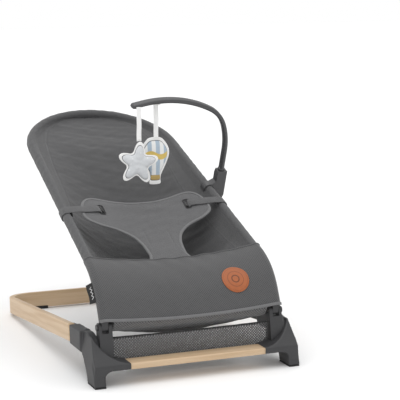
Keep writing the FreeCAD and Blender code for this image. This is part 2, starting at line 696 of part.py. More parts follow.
# ---- toy bar ------------------------------------------------------------------------------------------
def toy_bar_clip():
    start_along = CLIP_ALONG - CLIP_LENGTH / 2
    ring = side_rod(CLIP_ALONG, CLIP_LENGTH, CLIP_BORE + CLIP_WALL)
    hole = side_rod(CLIP_ALONG, 3 * CLIP_LENGTH, CLIP_BORE)
    middle_x = side_half_width(CLIP_ALONG)
    mouth = prism([back_point(x, start_along - 5, over) for x, over in
                   ((middle_x - CLIP_MOUTH, 0), (middle_x + CLIP_MOUTH, 0), (middle_x + CLIP_MOUTH, -40),
                    (middle_x - CLIP_MOUTH, -40))], ALONG * (CLIP_LENGTH + 10))
    inner_x = SOCKET_X - SOCKET_WIDTH / 2
    neck = prism([back_point(x, start_along, over) for x, over in
                  ((middle_x + 2, 12.0), (inner_x + 1, 20.0), (inner_x + 1, -8.0),
                   (middle_x + CLIP_BORE, -8.0))],
                 ALONG * CLIP_LENGTH)
    socket = prism([back_point(x, start_along, over) for x, over in
                    ((inner_x + 3, SOCKET_LOW), (inner_x + SOCKET_WIDTH - 3, SOCKET_LOW),
                     (inner_x + SOCKET_WIDTH, SOCKET_LOW + 8), (inner_x + SOCKET_WIDTH, SOCKET_HIGH),
                     (inner_x + 2, SOCKET_HIGH), (inner_x, SOCKET_HIGH - 8), (inner_x, SOCKET_LOW + 8))],
                   ALONG * CLIP_LENGTH)
    bore = rod(back_point(SOCKET_X, CLIP_ALONG, SOCKET_HIGH - STEM_DEPTH),
               back_point(SOCKET_X, CLIP_ALONG, SOCKET_HIGH + 1), STEM_RADIUS + RUNNING_CLEARANCE)
    return ring.fuse(neck).fuse(socket).cut(hole).cut(mouth).cut(bore)


def bar_stations():
    """Corner stations of the bar's centre line: (x, over, heading) at the ends of its arcs."""
    x = SOCKET_X
    over = BAR_STRAIGHT_TOP
    stations = [(x, over, 90.0)]
    for radius, start, end in BAR_ARCS:
        first = math.radians(start)
        last = math.radians(end)
        x -= radius * (math.sin(first) - math.sin(last))
        over += radius * (math.cos(last) - math.cos(first))
        stations.append((x, over, end))
    return stations


def bar_arc_middle(station, radius, start, end):
    half = math.radians((start + end) / 2)
    first = math.radians(start)
    return (station[0] - radius * (math.sin(first) - math.sin(half)),
            station[1] + radius * (math.cos(half) - math.cos(first)))


def toy_bar():
    stations = bar_stations()
    low = SOCKET_HIGH + 0.4
    edges = [line(back_point(SOCKET_X, CLIP_ALONG, low), back_point(SOCKET_X, CLIP_ALONG, BAR_STRAIGHT_TOP))]
    for index, (radius, start, end) in enumerate(BAR_ARCS):
        middle = bar_arc_middle(stations[index], radius, start, end)
        edges.append(arc(back_point(stations[index][0], CLIP_ALONG, stations[index][1]),
                         back_point(middle[0], CLIP_ALONG, middle[1]),
                         back_point(stations[index + 1][0], CLIP_ALONG, stations[index + 1][1])))
    last_x, last_over, heading = stations[-1]
    slope = math.radians(heading)
    tip = back_point(last_x - BAR_END * math.cos(slope), CLIP_ALONG, last_over + BAR_END * math.sin(slope))
    edges.append(line(back_point(last_x, CLIP_ALONG, last_over), tip))
    path = Part.Wire(edges)
    flat = BAR_WIDTH / 2 - BAR_THICKNESS / 2
    round_r = BAR_THICKNESS / 2
    foot = back_point(SOCKET_X, CLIP_ALONG, low)

    def section_point(side, along):
        return foot + XAXIS * side + ALONG * along

    section = Part.Wire([
        line(section_point(-round_r, -flat), section_point(-round_r, flat)),
        arc(section_point(-round_r, flat), section_point(0, flat + round_r), section_point(round_r, flat)),
        line(section_point(round_r, flat), section_point(round_r, -flat)),
        arc(section_point(round_r, -flat), section_point(0, -flat - round_r),
            section_point(-round_r, -flat))])
    bar = path.makePipeShell([section], True, False)
    stem = rod(back_point(SOCKET_X, CLIP_ALONG, SOCKET_HIGH - STEM_DEPTH + 0.5),
               back_point(SOCKET_X, CLIP_ALONG, low), STEM_RADIUS)
    nose = rod(tip - ALONG * flat, tip + ALONG * flat, round_r)
    ball_low = Part.makeSphere(round_r, tip - ALONG * flat)
    ball_high = Part.makeSphere(round_r, tip + ALONG * flat)
    cap = nose.fuse(ball_low).fuse(ball_high)
    return bar.fuse(stem).fuse(cap)


def bar_over(x):
    """Height of the bar's centre line over the tube's plane, on its long last arc."""
    radius, start, _ = BAR_ARCS[-1]
    first_x, first_over, _ = bar_stations()[-2]
    centre_x = first_x - radius * math.sin(math.radians(start))
    centre_over = first_over - radius * math.cos(math.radians(start))
    return centre_over + math.sqrt(radius ** 2 - (x - centre_x) ** 2)


# ---- hanging toys ----------------------------------------------------------------------------------------
def ribbon(x, side):
    """Flat ribbon that hangs beside the bar: side is -1 in front of it and 1 behind it."""
    over = bar_over(x)
    edge = back_point(x, CLIP_ALONG + side * (BAR_WIDTH / 2 + RIBBON_STAND_OFF), over)
    length = STAR_RIBBON_LENGTH if side < 0 else BALLOON_RIBBON_LENGTH
    return Part.makeBox(RIBBON_WIDTH, RIBBON_THICKNESS, length,
                        Vector(x - RIBBON_WIDTH / 2, edge.y - RIBBON_THICKNESS / 2, edge.z - length))


def ribbon_end(x, side):
    box = ribbon(x, side).BoundBox
    return Vector(x, (box.YMin + box.YMax) / 2, box.ZMin)


def star_toy():
    hang = ribbon_end(STAR_X, -1)
    tip_angle = math.radians(90 + STAR_TURN)
    centre = hang - Vector(STAR_OUTER * math.cos(tip_angle), 0, STAR_OUTER * math.sin(tip_angle))
    points = []
    for index in range(10):
        radius = STAR_OUTER if index % 2 == 0 else STAR_INNER
        angle = math.radians(90 + STAR_TURN + index * 36)
        points.append(centre + Vector(radius * math.cos(angle), 0, radius * math.sin(angle)))
    body = prism(points, YAXIS * TOY_THICKNESS)
    body.translate(Vector(0, -TOY_THICKNESS + RIBBON_THICKNESS / 2, -0.4))
    return body


def balloon_toy():
    hang = ribbon_end(BALLOON_X, 1)
    centre_z = hang.z - BALLOON_RADIUS
    base_z = hang.z - BALLOON_HEIGHT
    lean = math.radians(28)
    tangent_x = BALLOON_RADIUS * math.cos(lean)
    tangent_z = centre_z - BALLOON_RADIUS * math.sin(lean)
    neck = BASKET_WIDTH / 2
    left = Vector(hang.x - tangent_x, 0, tangent_z)
    right = Vector(hang.x + tangent_x, 0, tangent_z)
    left_rim = Vector(hang.x - neck, 0, base_z + BASKET_HEIGHT)
    left_foot = Vector(hang.x - neck, 0, base_z)
    right_foot = Vector(hang.x + neck, 0, base_z)
    right_rim = Vector(hang.x + neck, 0, base_z + BASKET_HEIGHT)
    edges = [arc(right, Vector(hang.x, 0, hang.z), left), line(left, left_rim), line(left_rim, left_foot),
             line(left_foot, right_foot), line(right_foot, right_rim), line(right_rim, right)]
    body = curved_prism(edges, YAXIS * TOY_THICKNESS)
    body.translate(Vector(0, hang.y - RIBBON_THICKNESS / 2, -0.4))
    return body


# ---- build --------------------------------------------------------------------------------------------
def build_base():
    bow = rear_bow()
    wood = crossbar()
    for hole in bow_screw_holes():
        bow = bow.cut(hole).cut(mirrored(hole))
    for hole in crossbar_screw_holes():
        wood = wood.cut(hole).cut(mirrored(hole))
    write("rear_bow", bow)
    write("front_crossbar", wood)
    write_pair("leg", right_leg())
    write_pair("foot_pad", right_foot_pad())
    pad = rear_pad(bow)
    write("rear_pads", Part.makeCompound([pad, mirrored(pad)]))
    write_pair("post", right_post())
    write_pair("hinge_pin", right_pin())
    write("bow_screws", Part.makeCompound(bow_screws() + [mirrored(screw) for screw in bow_screws()]))
    write("crossbar_screws", Part.makeCompound(crossbar_screws() + [mirrored(s) for s in crossbar_screws()]))
    write_pair("release_button", right_button())
    write("front_mesh_panel", front_mesh_panel())


def build_seat():
    write("seat_tube", seat_tube())
    write("cross_tube", cross_tube())
    write_pair("knuckle", right_knuckle())
    write("frame_sleeve", frame_sleeve())
    write("seat_sling", seat_sling())
    write("apron", apron())
    write("under_mesh", under_mesh())
    write("harness", harness())
    write_pair("strap", right_strap())
    write("leather_patch", leather_patch())
    write("side_label", side_label())
    write("toy_bar_clip", toy_bar_clip())


def build_toys():
    write("toy_bar", toy_bar())
    write("star_ribbon", ribbon(STAR_X, -1))
    write("star_toy", star_toy())
    write("balloon_ribbon", ribbon(BALLOON_X, 1))
    write("balloon_toy", balloon_toy())


def report_joints():
    """Print the joint places in the part's own frame."""
    print("hinge", hinge_axis(0) + FRAME_SHIFT)
    print("swivel", back_point(SOCKET_X, CLIP_ALONG, SOCKET_HIGH) + FRAME_SHIFT, "axis", OVER)
    for name, x, side in (("star", STAR_X, -1), ("balloon", BALLOON_X, 1)):
        print(name, back_point(x, CLIP_ALONG, bar_over(x)) + FRAME_SHIFT)
        print(name, "ribbon end", ribbon_end(x, side) + FRAME_SHIFT)


os.makedirs("parts", exist_ok=True)
build_base()
build_seat()
build_toys()
report_joints()
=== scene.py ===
"""Looks of a folding baby bouncer seat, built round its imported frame.

Metres, +Z up. The front of the seat faces -Y, and the origin is on the floor at the middle of the footprint.
Each sub-assembly is a class that works out its surfaces with numpy and dresses them in its finishes.
"""

import logging
import math
from dataclasses import dataclass, field
from enum import Enum
from typing import Callable, Dict, List, Optional, Sequence, Tuple, Union

import bmesh
import bpy
import numpy as np
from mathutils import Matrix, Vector


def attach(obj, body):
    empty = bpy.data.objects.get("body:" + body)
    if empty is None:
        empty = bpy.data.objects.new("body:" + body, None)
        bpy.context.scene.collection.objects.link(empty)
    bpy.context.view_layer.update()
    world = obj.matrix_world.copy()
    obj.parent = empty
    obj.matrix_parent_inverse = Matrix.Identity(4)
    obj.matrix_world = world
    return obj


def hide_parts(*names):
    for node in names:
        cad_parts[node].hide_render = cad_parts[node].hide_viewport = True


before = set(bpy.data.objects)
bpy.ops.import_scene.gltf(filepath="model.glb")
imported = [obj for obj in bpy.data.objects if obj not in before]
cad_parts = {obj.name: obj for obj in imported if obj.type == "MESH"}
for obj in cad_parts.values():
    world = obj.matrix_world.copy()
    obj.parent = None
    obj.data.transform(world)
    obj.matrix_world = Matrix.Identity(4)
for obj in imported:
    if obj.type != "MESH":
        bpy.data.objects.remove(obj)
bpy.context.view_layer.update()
LOG = logging.getLogger("bouncer")
FRONT_SHIFT = -0.3839962      # from the front of the feet to the origin
Array = np.ndarray
Socket = Union[float, bpy.types.NodeSocket]
ALL_OUTER = 0.02              # "border" value of cloth that is in its outer colour all over
CLOTH_OVER_SLEEVE = 0.0016    # from the sleeve's skin to cloth or webbing wrapped over it
SIDES = ("left", "right")


# ---- numpy helpers --------------------------------------------------------------------------------------
def smoothstep(t: Array) -> Array:
    """Cubic 3t^2 - 2t^3 of t held between 0 and 1."""
    t = np.clip(t, 0.0, 1.0)
    return t * t * (3.0 - 2.0 * t)


def ripple(u: Array, v: Array, seed: int, waves: int = 9) -> Array:
    """A soft uneven field, about -1 to 1: the sum of plane sine waves of random direction, length and phase.

    Args:
        u, v: coordinates in units of about one ripple.
        seed: picks the waves.
        waves: how many are added.
    Returns:
        The field at every point.
    """
    rng = np.random.default_rng(seed)
    heading = rng.uniform(0, 2 * math.pi, waves)
    pitch = rng.uniform(0.5, 1.7, waves)
    phase = rng.uniform(0, 2 * math.pi, waves)
    total = np.zeros(np.broadcast(u, v).shape)
    for h, p, f in zip(heading, pitch, phase):
        total = total + np.sin(2 * math.pi * p * (u * math.cos(h) + v * math.sin(h)) + f)
    return total / math.sqrt(waves) / 1.4


def smooth_curve(points: Array, count: int, closed: bool = False) -> Array:
    """Catmull-Rom curve: between two points, the cubic whose end slopes are half the step over the neighbours.

    Args:
        points: (n, d) points to pass through.
        count: number of points wanted.
        closed: whether it returns to its start.
    Returns:
        (count, d) points, the last equal to the first when closed.
    """
    p = np.asarray(points, float)
    if closed:
        ring = np.vstack([p[-1:], p, p[:2]])
        spans = len(p)
    else:
        ring = np.vstack([2 * p[:1] - p[1:2], p, 2 * p[-1:] - p[-2:-1]])
        spans = len(p) - 1
    t = np.linspace(0, spans, count)
    i = np.minimum(t.astype(int), spans - 1)
    f = (t - i)[:, None]
    a, b, c, d = ring[i], ring[i + 1], ring[i + 2], ring[i + 3]
    return 0.5 * (2 * b + (c - a) * f + (2 * a - 5 * b + 4 * c - d) * f ** 2 + (3 * b - a - 3 * c + d) * f ** 3)


def rounded_box(width: float, height: float, radius: float, per_corner: int = 6) -> Array:
    """Closed profile of a rectangle with round corners: four quarter circles joined by straight runs.

    Args:
        width, height: full size.
        radius: corner radius.
        per_corner: points on each corner.
    Returns:
        (n, 2) points, the last equal to the first.
    """
    corner = np.repeat(np.arange(4), per_corner)
    turn = np.tile(np.linspace(0, math.pi / 2, per_corner), 4) + corner * math.pi / 2
    cx = (width / 2 - radius) * np.array([1, -1, -1, 1])[corner]
    cy = (height / 2 - radius) * np.array([1, 1, -1, -1])[corner]
    ring = np.c_[cx + radius * np.cos(turn), cy + radius * np.sin(turn)]
    return np.vstack([ring, ring[:1]])


def unit(vectors: Array) -> Array:
    """Vectors scaled to length one."""
    return vectors / np.maximum(np.linalg.norm(vectors, axis=-1, keepdims=True), 1e-12)


def lengths_along(points: Array) -> Array:
    """Running length of a polyline, from 0."""
    return np.r_[0.0, np.cumsum(np.linalg.norm(np.diff(points, axis=0), axis=1))]


def with_mirror(points: Array) -> Array:
    """A line that ends on the middle plane, then its mirror image back to the other side."""
    return np.vstack([points, points[-2::-1] * np.array([-1.0, 1.0, 1.0])])


def ring_axes(line: Array, normal: Array, closed: bool = False) -> Tuple[Array, Array]:
    """Directions of a profile that follows a line lying in a plane.

    Args:
        line: (n, 3) centre line.
        normal: (3,) normal of the plane.
        closed: whether the last point repeats the first.
    Returns:
        (n, 3) directions across the line in the plane, and out of the plane.
    """
    if closed:
        tangent = unit(np.roll(line[:-1], -1, axis=0) - np.roll(line[:-1], 1, axis=0))
        tangent = np.vstack([tangent, tangent[:1]])
    else:
        tangent = unit(np.gradient(line, axis=0))
    across = unit(np.cross(tangent, np.tile(normal, (len(line), 1))))
    return across, unit(np.cross(across, tangent))


def band_axes(line: Array, wide: Array) -> Tuple[Array, Array]:
    """Directions of a band whose width keeps one direction.

    Args:
        line: (n, 3) centre line.
        wide: (3,) direction of the width.
    Returns:
        (n, 3) directions of the width and of the thickness.
    """
    across = np.tile(wide, (len(line), 1))
    return across, unit(np.cross(unit(np.gradient(line, axis=0)), across))


def grid_faces(rows: int, cols: int) -> Array:
    """Four-sided faces of a grid, as (n, 4) point numbers."""
    index = np.arange(rows * cols).reshape(rows, cols)
    return np.stack([index[:-1, :-1], index[:-1, 1:], index[1:, 1:], index[1:, :-1]], -1).reshape(-1, 4)


@dataclass
class Surface:
    """A grid of points with its UV map in metres, its named point values and its share of a second material."""
    points: Array
    uv: Array
    values: Dict[str, Array] = field(default_factory=dict)
    second: Optional[Array] = None


def slab(top: Array, thickness: float, uv: Array, values: Optional[Dict[str, Array]] = None) -> Surface:
    """Closed cloth of even thickness under a grid surface.

    The under side is the top moved back along its normal. The four edges close on the line halfway through.

    Args:
        top: (r, c, 3) upper surface.
        thickness: distance to the under side.
        uv: (r, c, 2) flat coordinates in metres.
        values: (r, c) point values carried on both sides.
    Returns:
        The closed surface, whose second material covers the under side.
    """
    down, across = np.gradient(top, axis=0), np.gradient(top, axis=1)
    normal = unit(np.cross(across, down))
    under = top - normal * thickness
    middle = (top + under) / 2

    def wrap(a: Array, b: Array, m: Array) -> Array:
        """One ring per row: middle, top, middle, under and back, with a middle row before and after."""
        ring = np.concatenate([m[:, :1], a, m[:, -1:], b[:, ::-1], m[:, :1]], axis=1)
        ends = np.concatenate([m[:, :1], m, m[:, -1:], m[:, ::-1], m[:, :1]], axis=1)
        return np.concatenate([ends[:1], ring, ends[-1:]], axis=0)

    carried = {name: wrap(v, v, v) for name, v in (values or {}).items()}
    lower = np.zeros(top.shape[:2])
    side = wrap(lower, lower + 1.0, lower + 0.5)
    return Surface(wrap(top, under, middle), wrap(uv, uv, uv), carried, side)


def sweep(path: Array, across: Array, up: Array, profile: Array, scale: Optional[Array] = None,
          closed: bool = False, spin: Optional[Array] = None) -> Surface:
    """Profile carried along a path: point = path + p0 * across + p1 * up.

    Args:
        path: (n, 3) centre line.
        across, up: (n, 3) unit directions of the profile's two axes.
        profile: (m, 2) closed profile.
        scale: (n, 2) size of the profile at each station.
        closed: whether the path is a ring; otherwise both ends close on the centre line.
        spin: (n,) angle by which the profile is turned at each station.
    Returns:
        The surface, with u round the profile and v along the path.
    """
    size = np.ones((len(path), 2)) if scale is None else scale
    p0 = profile[None, :, 0] * size[:, :1]
    p1 = profile[None, :, 1] * size[:, 1:]
    if spin is not None:
        c, s = np.cos(spin)[:, None], np.sin(spin)[:, None]
        p0, p1 = p0 * c - p1 * s, p0 * s + p1 * c
    points = path[:, None] + p0[..., None] * across[:, None] + p1[..., None] * up[:, None]
    u = np.broadcast_to(lengths_along(profile), points.shape[:2])
    v = np.broadcast_to(lengths_along(path)[:, None], points.shape[:2])
    uv = np.stack([u, v], -1)
    if not closed:
        low = np.broadcast_to(path[:1, None], (1,) + points.shape[1:])
        high = np.broadcast_to(path[-1:, None], (1,) + points.shape[1:])
        points = np.concatenate([low, points, high])
        uv = np.concatenate([uv[:1], uv, uv[-1:]])
    return Surface(points, uv)


def disc_shell(outline: Array, centre: Array, half: Callable[[Array], Array], rows: int) -> Surface:
    """Closed pillow over a flat outline in X and Z.

    A point at share r from the centre to the outline stands half(r) to the front and to the back.

    Args:
        outline: (n, 2) closed outline in X and Z.
        centre: (3,) place of the middle.
        half: half thickness as a function of r, 0 at r = 1.
        rows: rings on each side.
    Returns:
        The surface, with UV the place on the flat pattern and the value "reach" holding r.
    """
    share = np.sin(np.linspace(0, math.pi / 2, rows))
    both = np.r_[share, share[-2::-1]]
    sign = np.r_[-np.ones(rows), np.ones(rows - 1)]
    flat = both[:, None, None] * outline[None]
    depth = (sign * half(both))[:, None]
    points = np.stack([centre[0] + flat[..., 0], centre[1] + np.broadcast_to(depth, flat.shape[:2]),
                       centre[2] + flat[..., 1]], -1)
    return Surface(points, flat, {"reach": np.broadcast_to(both[:, None], flat.shape[:2]).copy()})


def outer_cloth(surface: Surface) -> Surface:
    """Mark a whole surface as cloth in its outer colour."""
    surface.values["border"] = np.full(surface.points.shape[:2], ALL_OUTER)
    return surface


def weld(mesh: bpy.types.Mesh, within: float, drop_slivers: bool = False) -> None:
    """Merge near points and turn the faces outwards.

    Args:
        mesh: changed in place.
        within: distance under which points merge.
        drop_slivers: whether faces without area are dissolved too.
    """
    work = bmesh.new()
    work.from_mesh(mesh)
    bmesh.ops.remove_doubles(work, verts=work.verts, dist=within)
    if drop_slivers:
        bmesh.ops.dissolve_degenerate(work, edges=work.edges, dist=1e-7)
    bmesh.ops.recalc_face_normals(work, faces=work.faces)
    work.to_mesh(mesh)
    work.free()


def piece(name: str, surface: Surface, body: str, stands_for: Sequence[str],
          materials: Sequence[bpy.types.Material]) -> bpy.types.Object:
    """Make a mesh object of a grid surface, with its poles and seams merged and its faces outwards.

    Args:
        name: piece name.
        surface: grid, UV map and values.
        body: CAD body it rides on.
        stands_for: CAD nodes it replaces.
        materials: one material, or two where the second covers the under side.
    Returns:
        The object, at the origin.
    """
    faces = grid_faces(*surface.points.shape[:2])
    mesh = bpy.data.meshes.new(name)
    mesh.from_pydata(surface.points.reshape(-1, 3).tolist(), [], faces.tolist())
    layer = mesh.uv_layers.new(name="UVMap")
    layer.data.foreach_set("uv", surface.uv.reshape(-1, 2)[faces.ravel()].astype(np.float32).ravel())
    for key, value in surface.values.items():
        mesh.attributes.new(key, "FLOAT", "POINT").data.foreach_set("value", value.astype(np.float32).ravel())
    if surface.second is not None and len(materials) > 1:
        share = surface.second.ravel()[faces].mean(axis=1)
        mesh.polygons.foreach_set("material_index", (share > 0.55).astype(np.int32))
    obj = bpy.data.objects.new(name, mesh)
    for material in materials:
        mesh.materials.append(material)
    weld(mesh, 2e-6, drop_slivers=True)
    mesh.polygons.foreach_set("use_smooth", np.ones(len(mesh.polygons), bool))
    mesh.update()
    return settle(obj, body, stands_for)


def settle(obj: bpy.types.Object, body: str, stands_for: Sequence[str]) -> bpy.types.Object:
    """Link a finished object, ride it on its body and hide the CAD parts it stands for."""
    bpy.context.scene.collection.objects.link(obj)
    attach(obj, body)
    if stands_for:
        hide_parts(*stands_for)
    LOG.info("%s: %d faces, rides on %s", obj.name, len(obj.data.polygons), body)
    return obj


def rounded_copy(node: str, name: str, body: str, material: bpy.types.Material,
                 voxel: float, rounds: int) -> bpy.types.Object:
    """Moulded look for a CAD solid: a merged copy, remeshed in small cells and smoothed so that its edges round.

    Args:
        node: CAD node copied and replaced.
        name: piece name.
        body: CAD body.
        material: finish.
        voxel: cell size of the remesh.
        rounds: smoothing passes.
    Returns:
        The object.
    """
    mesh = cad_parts[node].data.copy()
    weld(mesh, 1e-6)
    rough = bpy.data.objects.new(name + "_rough", mesh)
    bpy.context.scene.collection.objects.link(rough)
    remesh = rough.modifiers.new("cells", "REMESH")
    remesh.mode = "VOXEL"
    remesh.voxel_size = voxel
    smooth = rough.modifiers.new("round", "SMOOTH")
    smooth.factor = 0.5
    smooth.iterations = rounds
    bpy.context.view_layer.update()
    done = bpy.data.meshes.new_from_object(rough.evaluated_get(bpy.context.evaluated_depsgraph_get()))
    bpy.data.objects.remove(rough)
    done.name = name
    done.materials.clear()
    done.materials.append(material)
    done.polygons.foreach_set("use_smooth", np.ones(len(done.polygons), bool))
    return settle(bpy.data.objects.new(name, done), body, [node])


def dress(node: str, material: bpy.types.Material) -> None:
    """Give a CAD node its finish in place of its plain one."""
    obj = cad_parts[node]
    obj.data.materials.clear()
    obj.data.materials.append(material)


# ---- shader helpers -------------------------------------------------------------------------------------
@dataclass
class Bench:
    """Short ways to add and join the nodes of one tree."""
    tree: bpy.types.NodeTree

    def node(self, kind: str, **settings: object) -> bpy.types.Node:
        """A node with some of its properties set."""
        made = self.tree.nodes.new(kind)
        for key, value in settings.items():
            setattr(made, key, value)
        return made

    def put(self, socket: bpy.types.NodeSocket, value: object) -> None:
        """Link a socket to another, or set its number or colour."""
        if isinstance(value, bpy.types.NodeSocket):
            self.tree.links.new(value, socket)
        else:
            socket.default_value = value

    def math(self, operation: str, a: Socket, b: Socket = 0.0) -> bpy.types.NodeSocket:
        """Result of one Math node."""
        made = self.node("ShaderNodeMath", operation=operation)
        self.put(made.inputs[0], a)
        self.put(made.inputs[1], b)
        return made.outputs[0]

    def times(self, a: Socket, b: Socket) -> bpy.types.NodeSocket:
        """Product of two numbers."""
        return self.math("MULTIPLY", a, b)

    def plus(self, a: Socket, b: Socket) -> bpy.types.NodeSocket:
        """Sum of two numbers."""
        return self.math("ADD", a, b)

    def minus(self, a: Socket, b: Socket) -> bpy.types.NodeSocket:
        """The first number less the second."""
        return self.math("SUBTRACT", a, b)

    def step(self, value: Socket, low: float, high: float) -> bpy.types.NodeSocket:
        """0 below low and 1 above high, with a smooth ramp between."""
        made = self.node("ShaderNodeMapRange", interpolation_type="SMOOTHSTEP")
        self.put(made.inputs["Value"], value)
        made.inputs["From Min"].default_value = low
        made.inputs["From Max"].default_value = high
        return made.outputs[0]

    def mix(self, share: Socket, a: object, b: object) -> bpy.types.NodeSocket:
        """Colour between a and b."""
        made = self.node("ShaderNodeMix", data_type="RGBA")
        self.put(made.inputs[0], share)
        self.put(made.inputs[6], a)
        self.put(made.inputs[7], b)
        return made.outputs[2]

    def noise(self, vector: Socket, scale: float, detail: float = 2.0) -> bpy.types.NodeSocket:
        """Soft noise, 0 to 1."""
        made = self.node("ShaderNodeTexNoise")
        self.put(made.inputs["Vector"], vector)
        made.inputs["Scale"].default_value = scale
        made.inputs["Detail"].default_value = detail
        return made.outputs[0]

    def stretch(self, vector: Socket, by: Tuple[float, float, float]) -> bpy.types.NodeSocket:
        """Vector scaled along its axes."""
        made = self.node("ShaderNodeMapping")
        self.put(made.inputs["Vector"], vector)
        made.inputs["Scale"].default_value = by
        return made.outputs[0]

    def parts(self, vector: Socket) -> Tuple[bpy.types.NodeSocket, ...]:
        """X, Y and Z of a vector."""
        made = self.node("ShaderNodeSeparateXYZ")
        self.put(made.inputs[0], vector)
        return tuple(made.outputs)

    def group(self, name: str, **inputs: Socket) -> bpy.types.Node:
        """Place a shared effect and set its inputs."""
        made = self.node("ShaderNodeGroup", node_tree=bpy.data.node_groups[name])
        for key, value in inputs.items():
            self.put(made.inputs[key], value)
        return made


def open_group(name: str, inputs: Dict[str, str],
               outputs: Sequence[str]) -> Tuple[Bench, bpy.types.Node, bpy.types.Node]:
    """Start a shader node group.

    Args:
        name: group name.
        inputs: input names and socket types.
        outputs: names of its number outputs.
    Returns:
        The bench, the group's input node and its output node.
    """
    tree = bpy.data.node_groups.new(name, "ShaderNodeTree")
    for key, kind in inputs.items():
        tree.interface.new_socket(key, in_out="INPUT", socket_type=kind)
    for key in outputs:
        tree.interface.new_socket(key, in_out="OUTPUT", socket_type="NodeSocketFloat")
    bench = Bench(tree)
    return bench, bench.node("NodeGroupInput"), bench.node("NodeGroupOutput")


def build_effects() -> None:
    """Build the shared effects: weave, open knit, moulded grain, wood figure, fading and stitch line."""
    vector, number = "NodeSocketVector", "NodeSocketFloat"
    b, i, o = open_group("plain weave", {"Vector": vector, "Pitch": number}, ["Height", "Tone"])
    # weave: warp and weft are |sin| ridges, and the one on top changes with the sign of their product
    x, y, _ = b.parts(i.outputs["Vector"])
    su = b.math("SINE", b.times(b.math("DIVIDE", x, i.outputs["Pitch"]), math.pi))
    sv = b.math("SINE", b.times(b.math("DIVIDE", y, i.outputs["Pitch"]), math.pi))
    over = b.math("GREATER_THAN", b.times(su, sv), 0.0)
    au, av = b.math("ABSOLUTE", su), b.math("ABSOLUTE", sv)
    height = b.plus(b.times(over, au), b.times(b.minus(1.0, over), av))
    b.put(o.inputs["Height"], height)
    # mottled yarns: noise drawn out along the weft, with a little along the warp
    weft = b.noise(b.stretch(i.outputs["Vector"], (60.0, 900.0, 1.0)), 1.0, 3.0)
    warp = b.noise(b.stretch(i.outputs["Vector"], (900.0, 90.0, 1.0)), 1.0, 2.0)
    b.put(o.inputs["Tone"], b.plus(b.times(weft, 0.65), b.times(warp, 0.35)))

    b, i, o = open_group("open knit", {"Vector": vector, "Pitch": number}, ["Hole", "Height"])
    # holes at the peaks of the product of two sines, every other row moved by half a pitch
    x, y, _ = b.parts(i.outputs["Vector"])
    row = b.math("DIVIDE", b.plus(x, y), i.outputs["Pitch"])
    col = b.math("DIVIDE", b.minus(x, y), i.outputs["Pitch"])
    peak = b.times(b.math("SINE", b.times(row, math.pi)),
                  b.math("SINE", b.times(col, math.pi)))
    size = b.math("ABSOLUTE", peak)
    b.put(o.inputs["Hole"], b.step(size, 0.42, 0.72))
    b.put(o.inputs["Height"], b.minus(1.0, size))

    b, i, o = open_group("moulded grain", {"Vector": vector, "Size": number}, ["Height", "Tone"])
    near = b.node("ShaderNodeVectorMath", operation="SCALE")
    b.put(near.inputs[0], i.outputs["Vector"])
    b.put(near.inputs["Scale"], b.math("DIVIDE", 1.0, i.outputs["Size"]))
    b.put(o.inputs["Height"], b.noise(near.outputs[0], 1.0, 3.0))
    b.put(o.inputs["Tone"], b.noise(i.outputs["Vector"], 28.0, 4.0))

    b, i, o = open_group("wood figure", {"Vector": vector}, ["Grain", "Ply", "Pore"])
    # long soft figure along the strip, fine pores, and a line at each glued layer through its thickness
    x, _, _ = b.parts(i.outputs["Vector"])
    b.put(o.inputs["Grain"], b.noise(b.stretch(i.outputs["Vector"], (90.0, 7.0, 150.0)), 1.0, 4.0))
    b.put(o.inputs["Pore"], b.noise(b.stretch(i.outputs["Vector"], (900.0, 40.0, 1400.0)), 1.0, 2.0))
    layer = b.math("SINE", b.times(x, 2 * math.pi / 0.0016))
    b.put(o.inputs["Ply"], b.step(layer, 0.35, 0.95))

    b, i, o = open_group("use and fade", {"Vector": vector}, ["Fade"])
    wide = b.noise(i.outputs["Vector"], 9.0, 3.0)
    close = b.noise(i.outputs["Vector"], 60.0, 2.0)
    b.put(o.inputs["Fade"], b.plus(b.times(wide, 0.7), b.times(close, 0.3)))

    b, i, o = open_group("stitch line", {"Distance": number, "Along": number, "Pitch": number}, ["Thread"])
    # a thread is near the line, and in the first 65 hundredths of each stitch
    near = b.minus(1.0, b.step(b.math("ABSOLUTE", i.outputs["Distance"]), 0.0004, 0.0009))
    turn = b.math("FRACT", b.math("DIVIDE", i.outputs["Along"], i.outputs["Pitch"]))
    b.put(o.inputs["Thread"], b.times(near, b.math("LESS_THAN", turn, 0.65)))


Colour = Tuple[float, float, float]


def rgba(colour: Colour, by: float = 1.0) -> Tuple[float, float, float, float]:
    """Colour times a number, with full alpha."""
    return (colour[0] * by, colour[1] * by, colour[2] * by, 1.0)


class Place(Enum):
    """What a finish's pattern follows."""
    OBJECT = "object"
    FLAT = "flat pattern"
    TIMBER = "timber"


def start_material(name: str, place: Place) -> Tuple[bpy.types.Material, Bench, bpy.types.Node, Socket]:
    """A new material with its Principled shader and its pattern's coordinates.

    Args:
        name: material name.
        place: what the pattern follows.
    Returns:
        The material, its bench, the shader and the coordinate socket.
    """
    material = bpy.data.materials.new(name)
    material.use_nodes = True
    bench = Bench(material.node_tree)
    shader = material.node_tree.nodes["Principled BSDF"]
    if place is Place.FLAT:
        vector = bench.node("ShaderNodeUVMap", uv_map="UVMap").outputs[0]
    elif place is Place.TIMBER:
        made = bench.node("ShaderNodeCombineXYZ")
        for k, key in enumerate(("timber_through", "timber_along", "timber_wide")):
            bench.put(made.inputs[k], bench.node("ShaderNodeAttribute", attribute_name=key).outputs["Fac"])
        vector = made.outputs[0]
    else:
        vector = bench.node("ShaderNodeTexCoord").outputs["Object"]
    return material, bench, shader, vector


